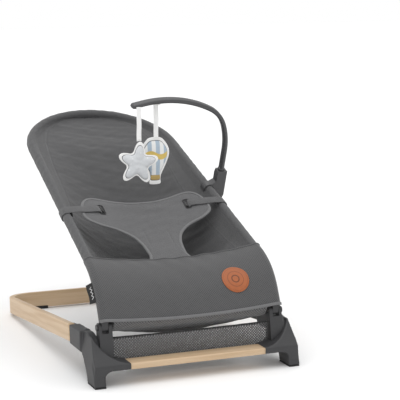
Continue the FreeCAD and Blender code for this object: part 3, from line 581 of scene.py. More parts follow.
def bump(bench: Bench, shader: bpy.types.Node, height: Socket, strength: float, distance: float) -> None:
    """Feed a height into the shader's normal."""
    made = bench.node("ShaderNodeBump")
    made.inputs["Strength"].default_value = strength
    made.inputs["Distance"].default_value = distance
    bench.put(made.inputs["Height"], height)
    bench.put(shader.inputs["Normal"], made.outputs[0])


@dataclass(frozen=True)
class ClothFinish:
    """Woven or open-knit cloth, with a border colour where the value "border" is over 0 and a sewn line there."""
    name: str
    colour: Colour
    inner: Optional[Colour] = None
    pitch: float = 0.0011
    knit: float = 0.0
    hole: float = 0.35
    clear: float = 0.0
    mottle: float = 0.5
    strength: float = 0.35
    stitched: float = 0.0
    thread: Colour = (0.22, 0.22, 0.23)

    def build(self) -> bpy.types.Material:
        """The material: mottled colour, weave or knit height, fading, and stitches where asked."""
        material, b, shader, vector = start_material(self.name, Place.FLAT)
        place = b.node("ShaderNodeTexCoord").outputs["Object"]
        weave = b.group("plain weave", Vector=vector, Pitch=self.pitch)
        fade = b.group("use and fade", Vector=place)
        tone = b.plus(b.times(weave.outputs["Tone"], 1.6), -0.3)
        low, high = 1.0 - self.mottle, 1.0 + self.mottle
        colour = b.mix(tone, rgba(self.colour, low), rgba(self.colour, high))
        if self.inner is not None:
            border = b.node("ShaderNodeAttribute", attribute_name="border").outputs["Fac"]
            inside = b.mix(tone, rgba(self.inner, low), rgba(self.inner, high))
            colour = b.mix(b.step(border, -0.0006, 0.0006), inside, colour)
        colour = b.mix(b.times(fade.outputs["Fade"], 0.35), colour, rgba(self.colour, 1.25))
        height = weave.outputs["Height"]
        if self.knit:
            knit = b.group("open knit", Vector=vector, Pitch=self.knit)
            colour = b.mix(b.times(knit.outputs["Hole"], self.hole), colour, rgba(self.colour, 0.12))
            height = knit.outputs["Height"]
        if self.stitched:
            edge = b.node("ShaderNodeAttribute", attribute_name="border").outputs["Fac"]
            along = b.parts(vector)[1]
            line = b.group("stitch line", Distance=b.minus(edge, self.stitched), Along=along, Pitch=0.004)
            colour = b.mix(line.outputs["Thread"], colour, rgba(self.thread))
            height = b.plus(height, line.outputs["Thread"])
        if self.clear:
            open_share = b.times(knit.outputs["Hole"], self.clear)
            if self.inner is not None:
                open_share = b.times(open_share, b.step(border, -0.0006, 0.0006))
            b.put(shader.inputs["Alpha"], b.minus(1.0, open_share))
        b.put(shader.inputs["Base Color"], colour)
        b.put(shader.inputs["Roughness"], b.plus(b.times(weave.outputs["Tone"], 0.15), 0.78))
        shader.inputs["Sheen Weight"].default_value = 0.25
        shader.inputs["Sheen Roughness"].default_value = 0.5
        shader.inputs["Specular IOR Level"].default_value = 0.25
        bump(b, shader, height, self.strength, 0.0006)
        return material


@dataclass(frozen=True)
class PlasticFinish:
    """Moulded plastic, paint or rubber with a fine grain and uneven gloss."""
    name: str
    colour: Colour
    rough: float = 0.5
    grain: float = 0.0007
    strength: float = 0.12

    def build(self) -> bpy.types.Material:
        """The material: grain height, colour and gloss that vary a little."""
        material, b, shader, vector = start_material(self.name, Place.OBJECT)
        grain = b.group("moulded grain", Vector=vector, Size=self.grain)
        colour = b.mix(grain.outputs["Tone"], rgba(self.colour, 0.82), rgba(self.colour, 1.2))
        b.put(shader.inputs["Base Color"], colour)
        rough = b.plus(b.times(grain.outputs["Tone"], 0.16), self.rough - 0.08)
        b.put(shader.inputs["Roughness"], rough)
        bump(b, shader, grain.outputs["Height"], self.strength, 0.0004)
        return material


@dataclass(frozen=True)
class SteelFinish:
    """Bare or plated steel with fine brushed lines."""
    name: str
    colour: Colour

    def build(self) -> bpy.types.Material:
        """The material: metal whose gloss follows short streaks."""
        material, b, shader, vector = start_material(self.name, Place.OBJECT)
        streak = b.noise(b.stretch(vector, (300.0, 4000.0, 4000.0)), 1.0, 2.0)
        b.put(shader.inputs["Base Color"], b.mix(streak, rgba(self.colour, 0.85), rgba(self.colour, 1.1)))
        shader.inputs["Metallic"].default_value = 1.0
        b.put(shader.inputs["Roughness"], b.plus(b.times(streak, 0.2), 0.25))
        bump(b, shader, streak, 0.1, 0.0002)
        return material


@dataclass(frozen=True)
class TimberFinish:
    """Bent plywood under a clear matt lacquer."""
    name: str
    light: Colour
    dark: Colour

    def build(self) -> bpy.types.Material:
        """The material: long grain, fine pores and the glue lines of the layers."""
        material, b, shader, vector = start_material(self.name, Place.TIMBER)
        wood = b.group("wood figure", Vector=vector)
        grain = b.step(wood.outputs["Grain"], 0.3, 0.72)
        colour = b.mix(grain, rgba(self.light), rgba(self.dark))
        colour = b.mix(b.times(b.step(wood.outputs["Pore"], 0.6, 0.8), 0.35), colour, rgba(self.dark, 0.7))
        colour = b.mix(b.times(wood.outputs["Ply"], 0.28), colour, rgba(self.dark, 0.6))
        b.put(shader.inputs["Base Color"], colour)
        b.put(shader.inputs["Roughness"], b.plus(b.times(grain, 0.12), 0.42))
        shader.inputs["Coat Weight"].default_value = 0.12
        shader.inputs["Coat Roughness"].default_value = 0.35
        bump(b, shader, wood.outputs["Pore"], 0.1, 0.0003)
        return material


@dataclass(frozen=True)
class LeatherFinish:
    """Tan leather disc with pressed rings; the flat pattern's origin is its middle."""
    name: str
    colour: Colour
    radius: float

    def build(self) -> bpy.types.Material:
        """The material: pebble grain, darker pressed rings and a stitched rim."""
        material, b, shader, vector = start_material(self.name, Place.FLAT)
        x, y, _ = b.parts(vector)
        away = b.math("SQRT", b.plus(b.times(x, x), b.times(y, y)))

        def ring(at: float, half: float) -> bpy.types.NodeSocket:
            """Mask of a pressed ring."""
            gap = b.math("ABSOLUTE", b.minus(away, at))
            return b.minus(1.0, b.step(gap, half * 0.5, half))

        pressed = b.math("MAXIMUM", ring(0.0078, 0.0017), b.times(ring(0.0172, 0.0009), 0.7))
        angle = b.math("ARCTAN2", y, x)
        thread = b.group("stitch line", Distance=b.minus(away, self.radius - 0.0035),
                         Along=b.times(angle, self.radius), Pitch=0.0036)
        pebble = b.node("ShaderNodeTexVoronoi")
        b.put(pebble.inputs["Vector"], vector)
        pebble.inputs["Scale"].default_value = 900.0
        tone = b.noise(vector, 90.0, 4.0)
        colour = b.mix(tone, rgba(self.colour, 0.78), rgba(self.colour, 1.2))
        colour = b.mix(b.times(pressed, 0.8), colour, rgba(self.colour, 0.22))
        colour = b.mix(b.times(thread.outputs["Thread"], 0.7), colour, rgba(self.colour, 0.45))
        b.put(shader.inputs["Base Color"], colour)
        b.put(shader.inputs["Roughness"], b.plus(b.times(tone, 0.2), 0.42))
        height = b.minus(b.times(pebble.outputs["Distance"], 0.3), pressed)
        bump(b, shader, height, 0.5, 0.0006)
        return material


@dataclass(frozen=True)
class LabelFinish:
    """Black woven label with a plain stitched zigzag in place of any wording."""
    name: str

    def build(self) -> bpy.types.Material:
        """The material: ribbed black ground and a white zigzag along its middle."""
        material, b, shader, vector = start_material(self.name, Place.FLAT)
        x, y, _ = b.parts(vector)
        wave = b.math("PINGPONG", y, 0.004)
        gap = b.math("ABSOLUTE", b.minus(b.minus(x, 0.006), wave))
        line = b.minus(1.0, b.step(gap, 0.0005, 0.001))
        inside = b.times(b.step(y, 0.008, 0.009), b.minus(1.0, b.step(y, 0.036, 0.037)))
        mark = b.times(line, inside)
        rib = b.math("SINE", b.times(y, 2 * math.pi / 0.0008))
        b.put(shader.inputs["Base Color"], b.mix(mark, (0.008, 0.008, 0.008, 1.0), (0.7, 0.7, 0.7, 1.0)))
        b.put(shader.inputs["Roughness"], b.plus(b.times(b.noise(vector, 300.0), 0.2), 0.5))
        bump(b, shader, b.plus(rib, mark), 0.3, 0.0003)
        return material


class Print(Enum):
    """Which printed toy a plush finish is for."""
    STAR = "star"
    BALLOON = "balloon"


@dataclass(frozen=True)
class PlushFinish:
    """Printed plush with a plain white border; the flat pattern's origin is the toy's middle."""
    name: str
    pattern: Print
    border_from: float

    def build(self) -> bpy.types.Material:
        """The material: white border, a thin dark outline, and a plain print of dots or stripes."""
        material, b, shader, vector = start_material(self.name, Place.FLAT)
        x, z, _ = b.parts(vector)
        reach = b.node("ShaderNodeAttribute", attribute_name="reach").outputs["Fac"]
        nap = b.noise(vector, 1500.0, 2.0)
        if self.pattern is Print.STAR:
            blotch = b.noise(vector, 45.0, 3.0)
            body = b.mix(blotch, (0.56, 0.58, 0.60, 1.0), (0.74, 0.76, 0.78, 1.0))
            dots = b.node("ShaderNodeTexVoronoi")
            b.put(dots.inputs["Vector"], vector)
            dots.inputs["Scale"].default_value = 95.0
            dot = b.minus(1.0, b.step(dots.outputs["Distance"], 0.16, 0.22))
            body = b.mix(b.times(dot, 0.55), body, (0.86, 0.88, 0.9, 1.0))
        else:
            # stripes of even width, a wavy band across them, and a cane basket below
            stripe = b.math("SINE", b.times(x, 2 * math.pi / 0.019))
            body = b.mix(b.step(stripe, -0.1, 0.1), (0.86, 0.87, 0.86, 1.0), (0.42, 0.52, 0.62, 1.0))
            slope = b.plus(z, b.times(b.math("SINE", b.times(x, 130.0)), 0.004))
            band = b.minus(1.0, b.step(b.math("ABSOLUTE", b.plus(slope, -0.006)), 0.0055, 0.0065))
            body = b.mix(band, body, (0.72, 0.52, 0.12, 1.0))
            basket = b.math("LESS_THAN", z, -0.038)
            cane = b.step(b.math("SINE", b.times(z, 2 * math.pi / 0.004)), -0.2, 0.2)
            body = b.mix(basket, body, b.mix(cane, (0.62, 0.42, 0.1, 1.0), (0.45, 0.32, 0.12, 1.0)))
        gap = b.math("ABSOLUTE", b.minus(reach, self.border_from))
        outline = b.minus(1.0, b.step(gap, 0.010, 0.022))
        colour = b.mix(b.step(reach, self.border_from, self.border_from + 0.01), body, (0.92, 0.92, 0.91, 1.0))
        colour = b.mix(b.times(outline, 0.85), colour, (0.05, 0.05, 0.055, 1.0))
        b.put(shader.inputs["Base Color"], b.mix(b.times(nap, 0.12), colour, (0.5, 0.5, 0.5, 1.0)))
        b.put(shader.inputs["Roughness"], b.plus(b.times(nap, 0.1), 0.85))
        shader.inputs["Sheen Weight"].default_value = 0.35
        bump(b, shader, nap, 0.3, 0.0005)
        return material


# ---- the seat frame's lines -----------------------------------------------------------------------------
@dataclass(frozen=True)
class SeatLines:
    """Centre lines of the tubular seat frame, which every soft piece is hung on."""
    corner: Tuple[float, float] = (0.0842 + FRONT_SHIFT, 0.204)
    back: float = math.radians(21.1)
    shin: float = math.radians(64.3)
    half_width: float = 0.190
    bend_radius: float = 0.140
    top_centre: float = 0.548
    top_radius: float = 0.174
    sleeve: float = 0.0102

    @property
    def taper(self) -> float:
        """Angle by which each side closes in towards the round top."""
        reach = math.hypot(self.half_width, self.top_centre)
        return math.acos(self.top_radius / reach) - math.atan2(self.top_centre, self.half_width)

    @property
    def tangent(self) -> float:
        """Length from the corner to either end of the bend."""
        return self.bend_radius * math.tan((self.shin - self.back) / 2)

    @property
    def bend(self) -> float:
        """Length of the bend's centre line."""
        return self.bend_radius * (self.shin - self.back)

    @property
    def normal(self) -> Array:
        """Unit direction out of the back's plane, upwards."""
        return np.array([0.0, -math.sin(self.back), math.cos(self.back)])

    @property
    def rising(self) -> Array:
        """Unit direction up the back."""
        return np.array([0.0, math.cos(self.back), math.sin(self.back)])

    def half_at(self, along: Array) -> Array:
        """Half width of the tube's centre line at a distance along the back: straight, then a circle."""
        straight = self.half_width - np.maximum(along, 0.0) * math.tan(self.taper)
        circle = np.sqrt(np.maximum(self.top_radius ** 2 - (along - self.top_centre) ** 2, 0.0))
        return np.where(along > self.top_centre + self.top_radius * math.sin(self.taper), circle, straight)

    def back_point(self, x: Array, along: Array, over: Array) -> Array:
        """Point from its place across, along and over the back's plane."""
        x, along, over = np.broadcast_arrays(x, along, over)
        y = self.corner[0] + along * math.cos(self.back) - over * math.sin(self.back)
        z = self.corner[1] + along * math.sin(self.back) + over * math.cos(self.back)
        return np.stack([x, y, z], -1)

    def front_point(self, x: Array, q: Array, out: Array) -> Array:
        """Point over the front: q is the length from the start of the bend, up, and out the height over it.

        The line is straight before 0, an arc of the bend's radius up to its length, and straight after.
        """
        x, q, out = np.broadcast_arrays(x, q, out)
        on_arc = np.clip(q, 0.0, self.bend)
        slope = self.shin - on_arc / self.bend_radius
        dy, dz = np.cos(slope), np.sin(slope)
        cy = self.corner[0] - self.tangent * math.cos(self.shin) + self.bend_radius * math.sin(self.shin)
        cz = self.corner[1] - self.tangent * math.sin(self.shin) - self.bend_radius * math.cos(self.shin)
        y = cy - (self.bend_radius + out) * dz + dy * (q - on_arc)
        z = cz + (self.bend_radius + out) * dy + dz * (q - on_arc)
        return np.stack([x, y, z], -1)

    def q_of_along(self, along: float) -> float:
        """Length over the front that a distance along the back stands for, past the bend."""
        return self.bend + along - self.tangent

    def q_of_drop(self, drop: float) -> float:
        """Length over the front that a drop down the shin stands for."""
        return self.tangent - drop

    def loop(self, drop: float, count: int) -> Array:
        """Centre line of the whole loop, from a drop down the right shin round to the left one."""
        end = self.q_of_along(self.top_centre + self.top_radius * math.sin(self.taper))
        q = np.linspace(self.q_of_drop(drop), end, count)
        along = np.maximum(q - self.bend + self.tangent, 0.0)
        half = self.half_width - math.tan(self.taper) * along * smoothstep(q / self.bend)
        side = self.front_point(half, q, np.zeros_like(q))
        angle = np.linspace(self.taper, math.pi / 2, count // 3)[1:]
        top = self.back_point(self.top_radius * np.cos(angle), self.top_centre + self.top_radius * np.sin(angle),
                              0.0 * angle)
        right = np.vstack([side, top])
        return with_mirror(right)


LINES = SeatLines()


# ---- base -----------------------------------------------------------------------------------------------
@dataclass
class Base:
    """Plywood bow and crossbar, moulded legs and posts, pads, screws and the mesh panel between the posts."""
    half_width: float = 0.227
    strip: float = 0.013
    strip_height: float = 0.038
    corner_radius: float = 0.068
    tilt: float = math.radians(6.0)
    rear: float = 0.700 + FRONT_SHIFT
    bow_front: float = 0.166 + FRONT_SHIFT
    pad: float = 0.002
    edge: float = 0.0022
    crossbar_half: float = 0.1485
    crossbar_middle: Tuple[float, float] = (0.024 + FRONT_SHIFT, 0.039)
    crossbar_size: Tuple[float, float] = (0.040, 0.013)
    panel_y: float = 0.0512 + FRONT_SHIFT
    panel_low: float = 0.0365
    panel_high: float = 0.0885
    panel_half: float = 0.1735

    def tilted(self, points: Array) -> Array:
        """Bow-frame points (across, along, up) turned about the rear lower edge and put on the pads."""
        length = (self.rear - self.bow_front) / math.cos(self.tilt)
        v = points[..., 1] - length
        y = self.rear + v * math.cos(self.tilt) + points[..., 2] * math.sin(self.tilt)
        z = self.pad - v * math.sin(self.tilt) + points[..., 2] * math.cos(self.tilt)
        return np.stack([points[..., 0], y, z], -1)

    def timber(self, surface: Surface, profile: Array) -> Surface:
        """Add the place of each point in the timber: through it, along it and across its width."""
        shape = surface.points.shape[:2]
        surface.values["timber_through"] = np.broadcast_to(profile[:, 0], shape).copy()
        surface.values["timber_wide"] = np.broadcast_to(profile[:, 1], shape).copy()
        surface.values["timber_along"] = surface.uv[..., 1].copy()
        return surface

    def bow(self, wood: bpy.types.Material) -> None:
        """U-shaped strip: a rounded rectangle carried down one side, round two arcs and back."""
        length = (self.rear - self.bow_front) / math.cos(self.tilt)
        half = self.half_width - self.strip / 2
        radius = self.corner_radius - self.strip / 2
        reach = length - self.strip / 2
        run = np.linspace(0.0003, reach - radius, 60)
        turn = np.linspace(0, math.pi / 2, 28)[1:]
        across = np.r_[np.full(60, half), half - radius + radius * np.cos(turn), np.linspace(half - radius, 0, 24)[1:]]
        along = np.r_[run, reach - radius + radius * np.sin(turn), np.full(23, reach)]
        right = np.c_[across, along, np.full(len(along), self.strip_height / 2)]
        flat = with_mirror(right)
        tangent = unit(np.gradient(flat, axis=0))
        side = np.c_[tangent[:, 1], -tangent[:, 0], np.zeros(len(flat))]
        profile = rounded_box(self.strip, self.strip_height, self.edge, 5)
        up = np.tile([0.0, 0.0, 1.0], (len(flat), 1))
        surface = self.timber(sweep(flat, side, up, profile), profile)
        surface.points = self.tilted(surface.points)
        piece("plywood_bow", surface, "base", ["rear_bow"], [wood])

    def crossbar(self, wood: bpy.types.Material) -> None:
        """Front bar: a rounded rectangle carried from leg to leg."""
        x = np.linspace(-self.crossbar_half, self.crossbar_half, 40)
        path = np.c_[x, np.full(40, self.crossbar_middle[0]), np.full(40, self.crossbar_middle[1])]
        profile = rounded_box(self.crossbar_size[1], self.crossbar_size[0], self.edge, 5)
        up = np.tile([0.0, 0.0, 1.0], (40, 1))
        forward = np.tile([0.0, 1.0, 0.0], (40, 1))
        surface = self.timber(sweep(path, up, forward, profile), profile)
        piece("plywood_crossbar", surface, "base", ["front_crossbar"], [wood])

    def panel(self, mesh_cloth: bpy.types.Material, binding: bpy.types.Material) -> None:
        """Mesh panel: a flat grid between the posts that swells a little to the front."""
        t = np.linspace(0, 1, 40)[:, None]
        s = np.linspace(-1, 1, 140)[None]
        z = self.panel_low + (self.panel_high - self.panel_low) * t
        x = self.panel_half * s + 0.0 * t
        z = z + 0.0 * s - 0.0015 * (1 - s ** 2) * t
        swell = 0.0016 * np.sin(math.pi * t) * (1 - s ** 4) + 0.0005 * ripple(x * 30, z * 30, 5)
        y = self.panel_y - swell
        top = np.stack([x, y, z], -1)
        uv = np.stack([x, z], -1)
        border = np.minimum(self.panel_high - z, ALL_OUTER)
        surface = slab(top[::-1], 0.0016, uv[::-1], {"border": border[::-1]})
        obj = piece("mesh_panel", surface, "base", ["front_mesh_panel"], [mesh_cloth])
        rim = top[-1] + np.array([0.0, 0.0006, 0.0])
        across, up = band_axes(rim, np.array([0.0, 1.0, 0.0]))
        bead = sweep(rim, across, up, rounded_box(0.0044, 0.0052, 0.0021, 5))
        piece("mesh_panel_binding", bead, "base", [], [binding])

    def build(self, finishes: Dict[str, bpy.types.Material]) -> None:
        """Make and dress every piece of the base."""
        self.bow(finishes["timber"])
        self.crossbar(finishes["timber"])
        for side in SIDES:
            rounded_copy(side + "_leg", side + "_moulded_leg", "base", finishes["plastic"],
                         0.0014, 14)
            dress(side + "_post", finishes["plastic"])
            dress(side + "_foot_pad", finishes["rubber"])
            dress(side + "_hinge_pin", finishes["steel"])
            dress(side + "_release_button", finishes["button"])
        dress("rear_pads", finishes["rubber"])
        dress("bow_screws", finishes["steel"])
        dress("crossbar_screws", finishes["steel"])
        self.panel(finishes["mesh"], finishes["dark_binding"])


# ---- seat fabric ----------------------------------------------------------------------------------------
@dataclass
class SeatFabric:
    """Sleeve round the tube, hammock sling, front apron with its seam and hem, and the mesh underneath."""
    seam_along: float = 0.070
    hem_drop: float = 0.0885
    wall: float = 0.0030
    # from this length back, the mesh under the apron is painted near-black: painted shade in the gap between the pouch
    # and the apron
    painted_shade_from: float = 0.077
    sling_start: float = 0.0675
    sling_top_radius: float = 0.1668
    depth_at: Tuple[Tuple[float, float], ...] = (
        (0.066, 0.010), (0.082, 0.050), (0.104, 0.094), (0.142, 0.132), (0.200, 0.122), (0.300, 0.101),
        (0.400, 0.075), (0.470, 0.050), (0.540, 0.0255), (0.570, 0.0165), (0.600, 0.0130), (0.650, 0.010),
        (0.690, 0.008), (0.716, 0.004))
    border_at: Tuple[Tuple[float, float], ...] = (
        (0.066, 0.160), (0.131, 0.160), (0.224, 0.151), (0.318, 0.143), (0.407, 0.138), (0.516, 0.137),
        (0.600, 0.128), (0.649, 0.113), (0.685, 0.080), (0.703, 0.040), (0.7068, 0.0))

    def sleeve(self, cloth: bpy.types.Material) -> None:
        """Cloth round the tube: a circle carried round the loop, with soft puckers."""
        path = LINES.loop(0.0595, 300)
        across, up = ring_axes(path, LINES.normal)
        turn = np.linspace(0, 2 * math.pi, 33)
        profile = LINES.sleeve * np.c_[np.cos(turn), np.sin(turn)]
        surface = sweep(path, across, up, profile)
        around = np.broadcast_to(turn, surface.points.shape[:2])
        pucker = 0.00035 * ripple(around * 0.6, surface.uv[..., 1] * 55, 11) - 0.0001
        centre = np.vstack([path[:1], path, path[-1:]])[:, None]
        away = surface.points - centre
        on_skin = np.linalg.norm(away, axis=-1, keepdims=True) > 0.005
        surface.points += unit(away) * pucker[..., None] * on_skin
        outer_cloth(surface)
        piece("tube_sleeve", surface, "seat", ["frame_sleeve"], [cloth])

    def apron_grid(self) -> Tuple[Array, Array]:
        """Front cloth: flat across the middle with a sag, wrapped round the tube at both sides.

        Across, a middle stretch reaches the tubes and an arc round each tube follows it. Up, it goes from
        the hem to the seam over the bend. The sag is 1 - (x / half)^2 and grows towards the seam.

        Returns:
            The surface and its flat coordinates.
        """
        c = np.linspace(-1, 1, 221)[None]
        t = np.linspace(0, 1, 150)[:, None]
        split = 0.86
        wrap = LINES.sleeve + CLOTH_OVER_SLEEVE
        middle = np.clip(c / split, -1, 1)
        turn = np.sign(c) * np.clip((np.abs(c) - split) / (1 - split), 0, 1) * math.radians(98)
        bow = 1 - middle ** 2
        hem = LINES.q_of_drop(self.hem_drop) - 0.008 * bow
        seam = LINES.q_of_along(self.seam_along) - 0.002 * bow
        q = hem + (seam - hem) * t
        along = np.maximum(q - LINES.bend + LINES.tangent, 0.0)
        half = LINES.half_width - math.tan(LINES.taper) * along
        sag = (0.005 + 0.014 * smoothstep((t - 0.1) / 0.9)) * bow ** 0.85
        wave = 0.0007 * ripple(middle * 3, t * 2.2, 21) * bow
        fold = 0.0009 * np.sin(middle * 26 + 5 * t) * bow * np.exp(-((1 - t) / 0.12) ** 2)
        x = half * middle + wrap * np.sin(turn)
        out = wrap * np.cos(turn) - sag + wave + fold
        points = LINES.front_point(x, q, out)
        uv = np.stack([half * middle + wrap * turn, q + 0.0 * middle], -1)
        return points, uv

    def apron(self, cloth: bpy.types.Material, lining: bpy.types.Material, binding: bpy.types.Material) -> None:
        """The apron, with a light binding on its hem and a piped seam at its top."""
        points, uv = self.apron_grid()
        surface = slab(points, 0.0018, uv, {"border": np.full(points.shape[:2], ALL_OUTER)})
        obj = piece("front_apron", surface, "seat", ["apron"], [cloth, lining])
        for name, row, lift, size in (("hem_binding", 0, 0.0004, (0.0034, 0.0065)),
                                      ("apron_seam", -1, 0.0, (0.0030, 0.0036))):
            rim = points[row, 6:-6]
            tangent = unit(np.gradient(rim, axis=0))
            inward = unit(points[1 if row == 0 else -2, 6:-6] - rim)
            out = unit(np.cross(tangent, inward)) * (1.0 if row == 0 else -1.0)
            line = rim + inward * 0.0015 + out * lift
            bead = sweep(line, out, inward, rounded_box(*size, 0.0016, 5))
            outer_cloth(bead)
            piece(name, bead, "seat", [], [binding if row == 0 else cloth])

    def sling(self, cloth: bpy.types.Material, lining: bpy.types.Material) -> None:
        """Hammock: across, a parabola under the tube's plane that lifts on to the tubes at its edges.

        over = -depth(s) (1 - |u|^2.1) with a smooth lip up to the tube. Along, the depths come from a table
        smoothed by a running mean, and the first rows run in from the apron's seam.
        """
        radius = self.sling_top_radius
        round_top = np.linspace(math.asin(0.092 / radius), math.pi / 2, 50)
        s = np.concatenate([np.linspace(self.sling_start, 0.150, 60)[:-1], np.linspace(0.150, 0.640, 150)[:-1],
                            LINES.top_centre + radius * np.sin(round_top)])
        fine = np.linspace(0.04, 0.74, 1401)
        raw = np.interp(fine, *np.array(self.depth_at).T)
        kernel = np.hanning(41) / np.hanning(41).sum()
        depth = np.interp(s, fine[20:-20], np.convolve(raw, kernel, "valid"))[:, None]
        half = LINES.half_at(s) - 0.0072
        inner = np.sqrt(np.maximum(radius ** 2 - (s - LINES.top_centre) ** 2, 0.0))
        half = np.where(s > LINES.top_centre, np.minimum(half, inner), half)[:, None]
        u = np.sin(np.linspace(-math.pi / 2, math.pi / 2, 241))[None] * 0.35 + np.linspace(-1, 1, 241)[None] * 0.65
        x = half * u
        bowl = 1 - np.abs(u) ** 2.1
        # edge: a lip 7.5 mm high falls off over the first 11 mm from the tube
        lip = 0.0075 * smoothstep(1 - (half * (1 - np.abs(u))) / 0.011)
        calm = smoothstep((1 - np.abs(u)) / 0.3) * smoothstep((s[:, None] - 0.07) / 0.05)
        wrinkle = 0.0012 * ripple(x * 9, s[:, None] * 14, 31) + 0.0006 * ripple(x * 26, s[:, None] * 40, 32)
        near_strap = np.exp(-((s[:, None] - 0.26) / 0.07) ** 2)
        pull = 0.0011 * np.sin(s[:, None] * 240 + np.abs(x) * 60) * near_strap * smoothstep((np.abs(u) - 0.45) / 0.4)
        over = -0.002 - depth * bowl + lip + (wrinkle + pull) * calm
        seam = 0.0102 + 0.0016 - 0.019 * (1 - u ** 2) ** 0.85 - 0.0015
        over = seam + (over - seam) * smoothstep((s[:, None] - self.sling_start) / 0.010)
        points = LINES.back_point(x, s[:, None], over)
        stretch = np.vstack([np.zeros((1, 241)), np.cumsum(np.linalg.norm(np.diff(points, axis=0), axis=2), axis=0)])
        uv = np.stack([x * (1 + 0.3 * depth / 0.15), stretch], -1)
        limit = np.interp(s, *np.array(self.border_at).T)[:, None]
        border = np.clip(np.abs(x) - limit, -0.05, 0.05)
        groove = -0.0009 * np.exp(-(border / 0.0016) ** 2)
        points = points + groove[..., None] * LINES.normal
        surface = slab(points, self.wall, uv, {"border": border})
        obj = piece("hammock_sling", surface, "seat", ["seat_sling"], [cloth, lining])

    def underside(self, mesh_cloth: bpy.types.Material) -> None:
        """Mesh under the front: from behind the hem back to the lowest part of the sling, and narrower there.

        Towards its end it takes the sling's cross curve, 125 mm (|x| / 183 mm)^2.1.
        """
        knots = np.array([(0.0455, 0.1265), (0.0490, 0.1160), (0.062, 0.1035), (0.090, 0.0825),
                          (0.131, 0.0705), (0.176, 0.082), (0.214, 0.1005), (0.246, 0.1165)])
        line = smooth_curve(knots, 70)
        u = np.linspace(-1, 1, 120)[None]
        t = np.linspace(0, 1, 70)[:, None]
        half = 0.1705 - 0.085 * smoothstep((t - 0.4) / 0.6)
        x = half * u
        rise = 0.125 * smoothstep((t - 0.25) / 0.75) * (np.abs(x) / 0.183) ** 2.1
        sag = 0.0012 * (1 - u ** 2) * np.sin(math.pi * t) + 0.0005 * ripple(x * 20, t * 4, 41)
        points = np.stack([x, line[:, :1] + FRONT_SHIFT + 0.0 * u, line[:, 1:] - sag + rise], -1)
        uv = np.stack([x, lengths_along(line)[:, None] + 0.0 * u], -1)
        # behind that length the mesh takes its near-black inner colour, which is painted shade in the gap under the
        # apron
        surface = slab(points, 0.0016, uv, {"border": self.painted_shade_from - line[:, :1] + 0.0 * u})
        obj = piece("mesh_underside", surface, "seat", ["under_mesh"], [mesh_cloth])

    def build(self, finishes: Dict[str, bpy.types.Material]) -> None:
        """Make every cloth piece and dress the tubes under them."""
        self.sleeve(finishes["cloth"])
        self.apron(finishes["apron_cloth"], finishes["lining"], finishes["binding"])
        self.sling(finishes["sling_cloth"], finishes["lining"])
        self.underside(finishes["mesh_with_painted_shade"])
        dress("seat_tube", finishes["paint"])
        dress("cross_tube", finishes["paint"])
        for side in SIDES:
            rounded_copy(side + "_knuckle", side + "_moulded_knuckle", "seat",
                         finishes["plastic"], 0.0007, 4)


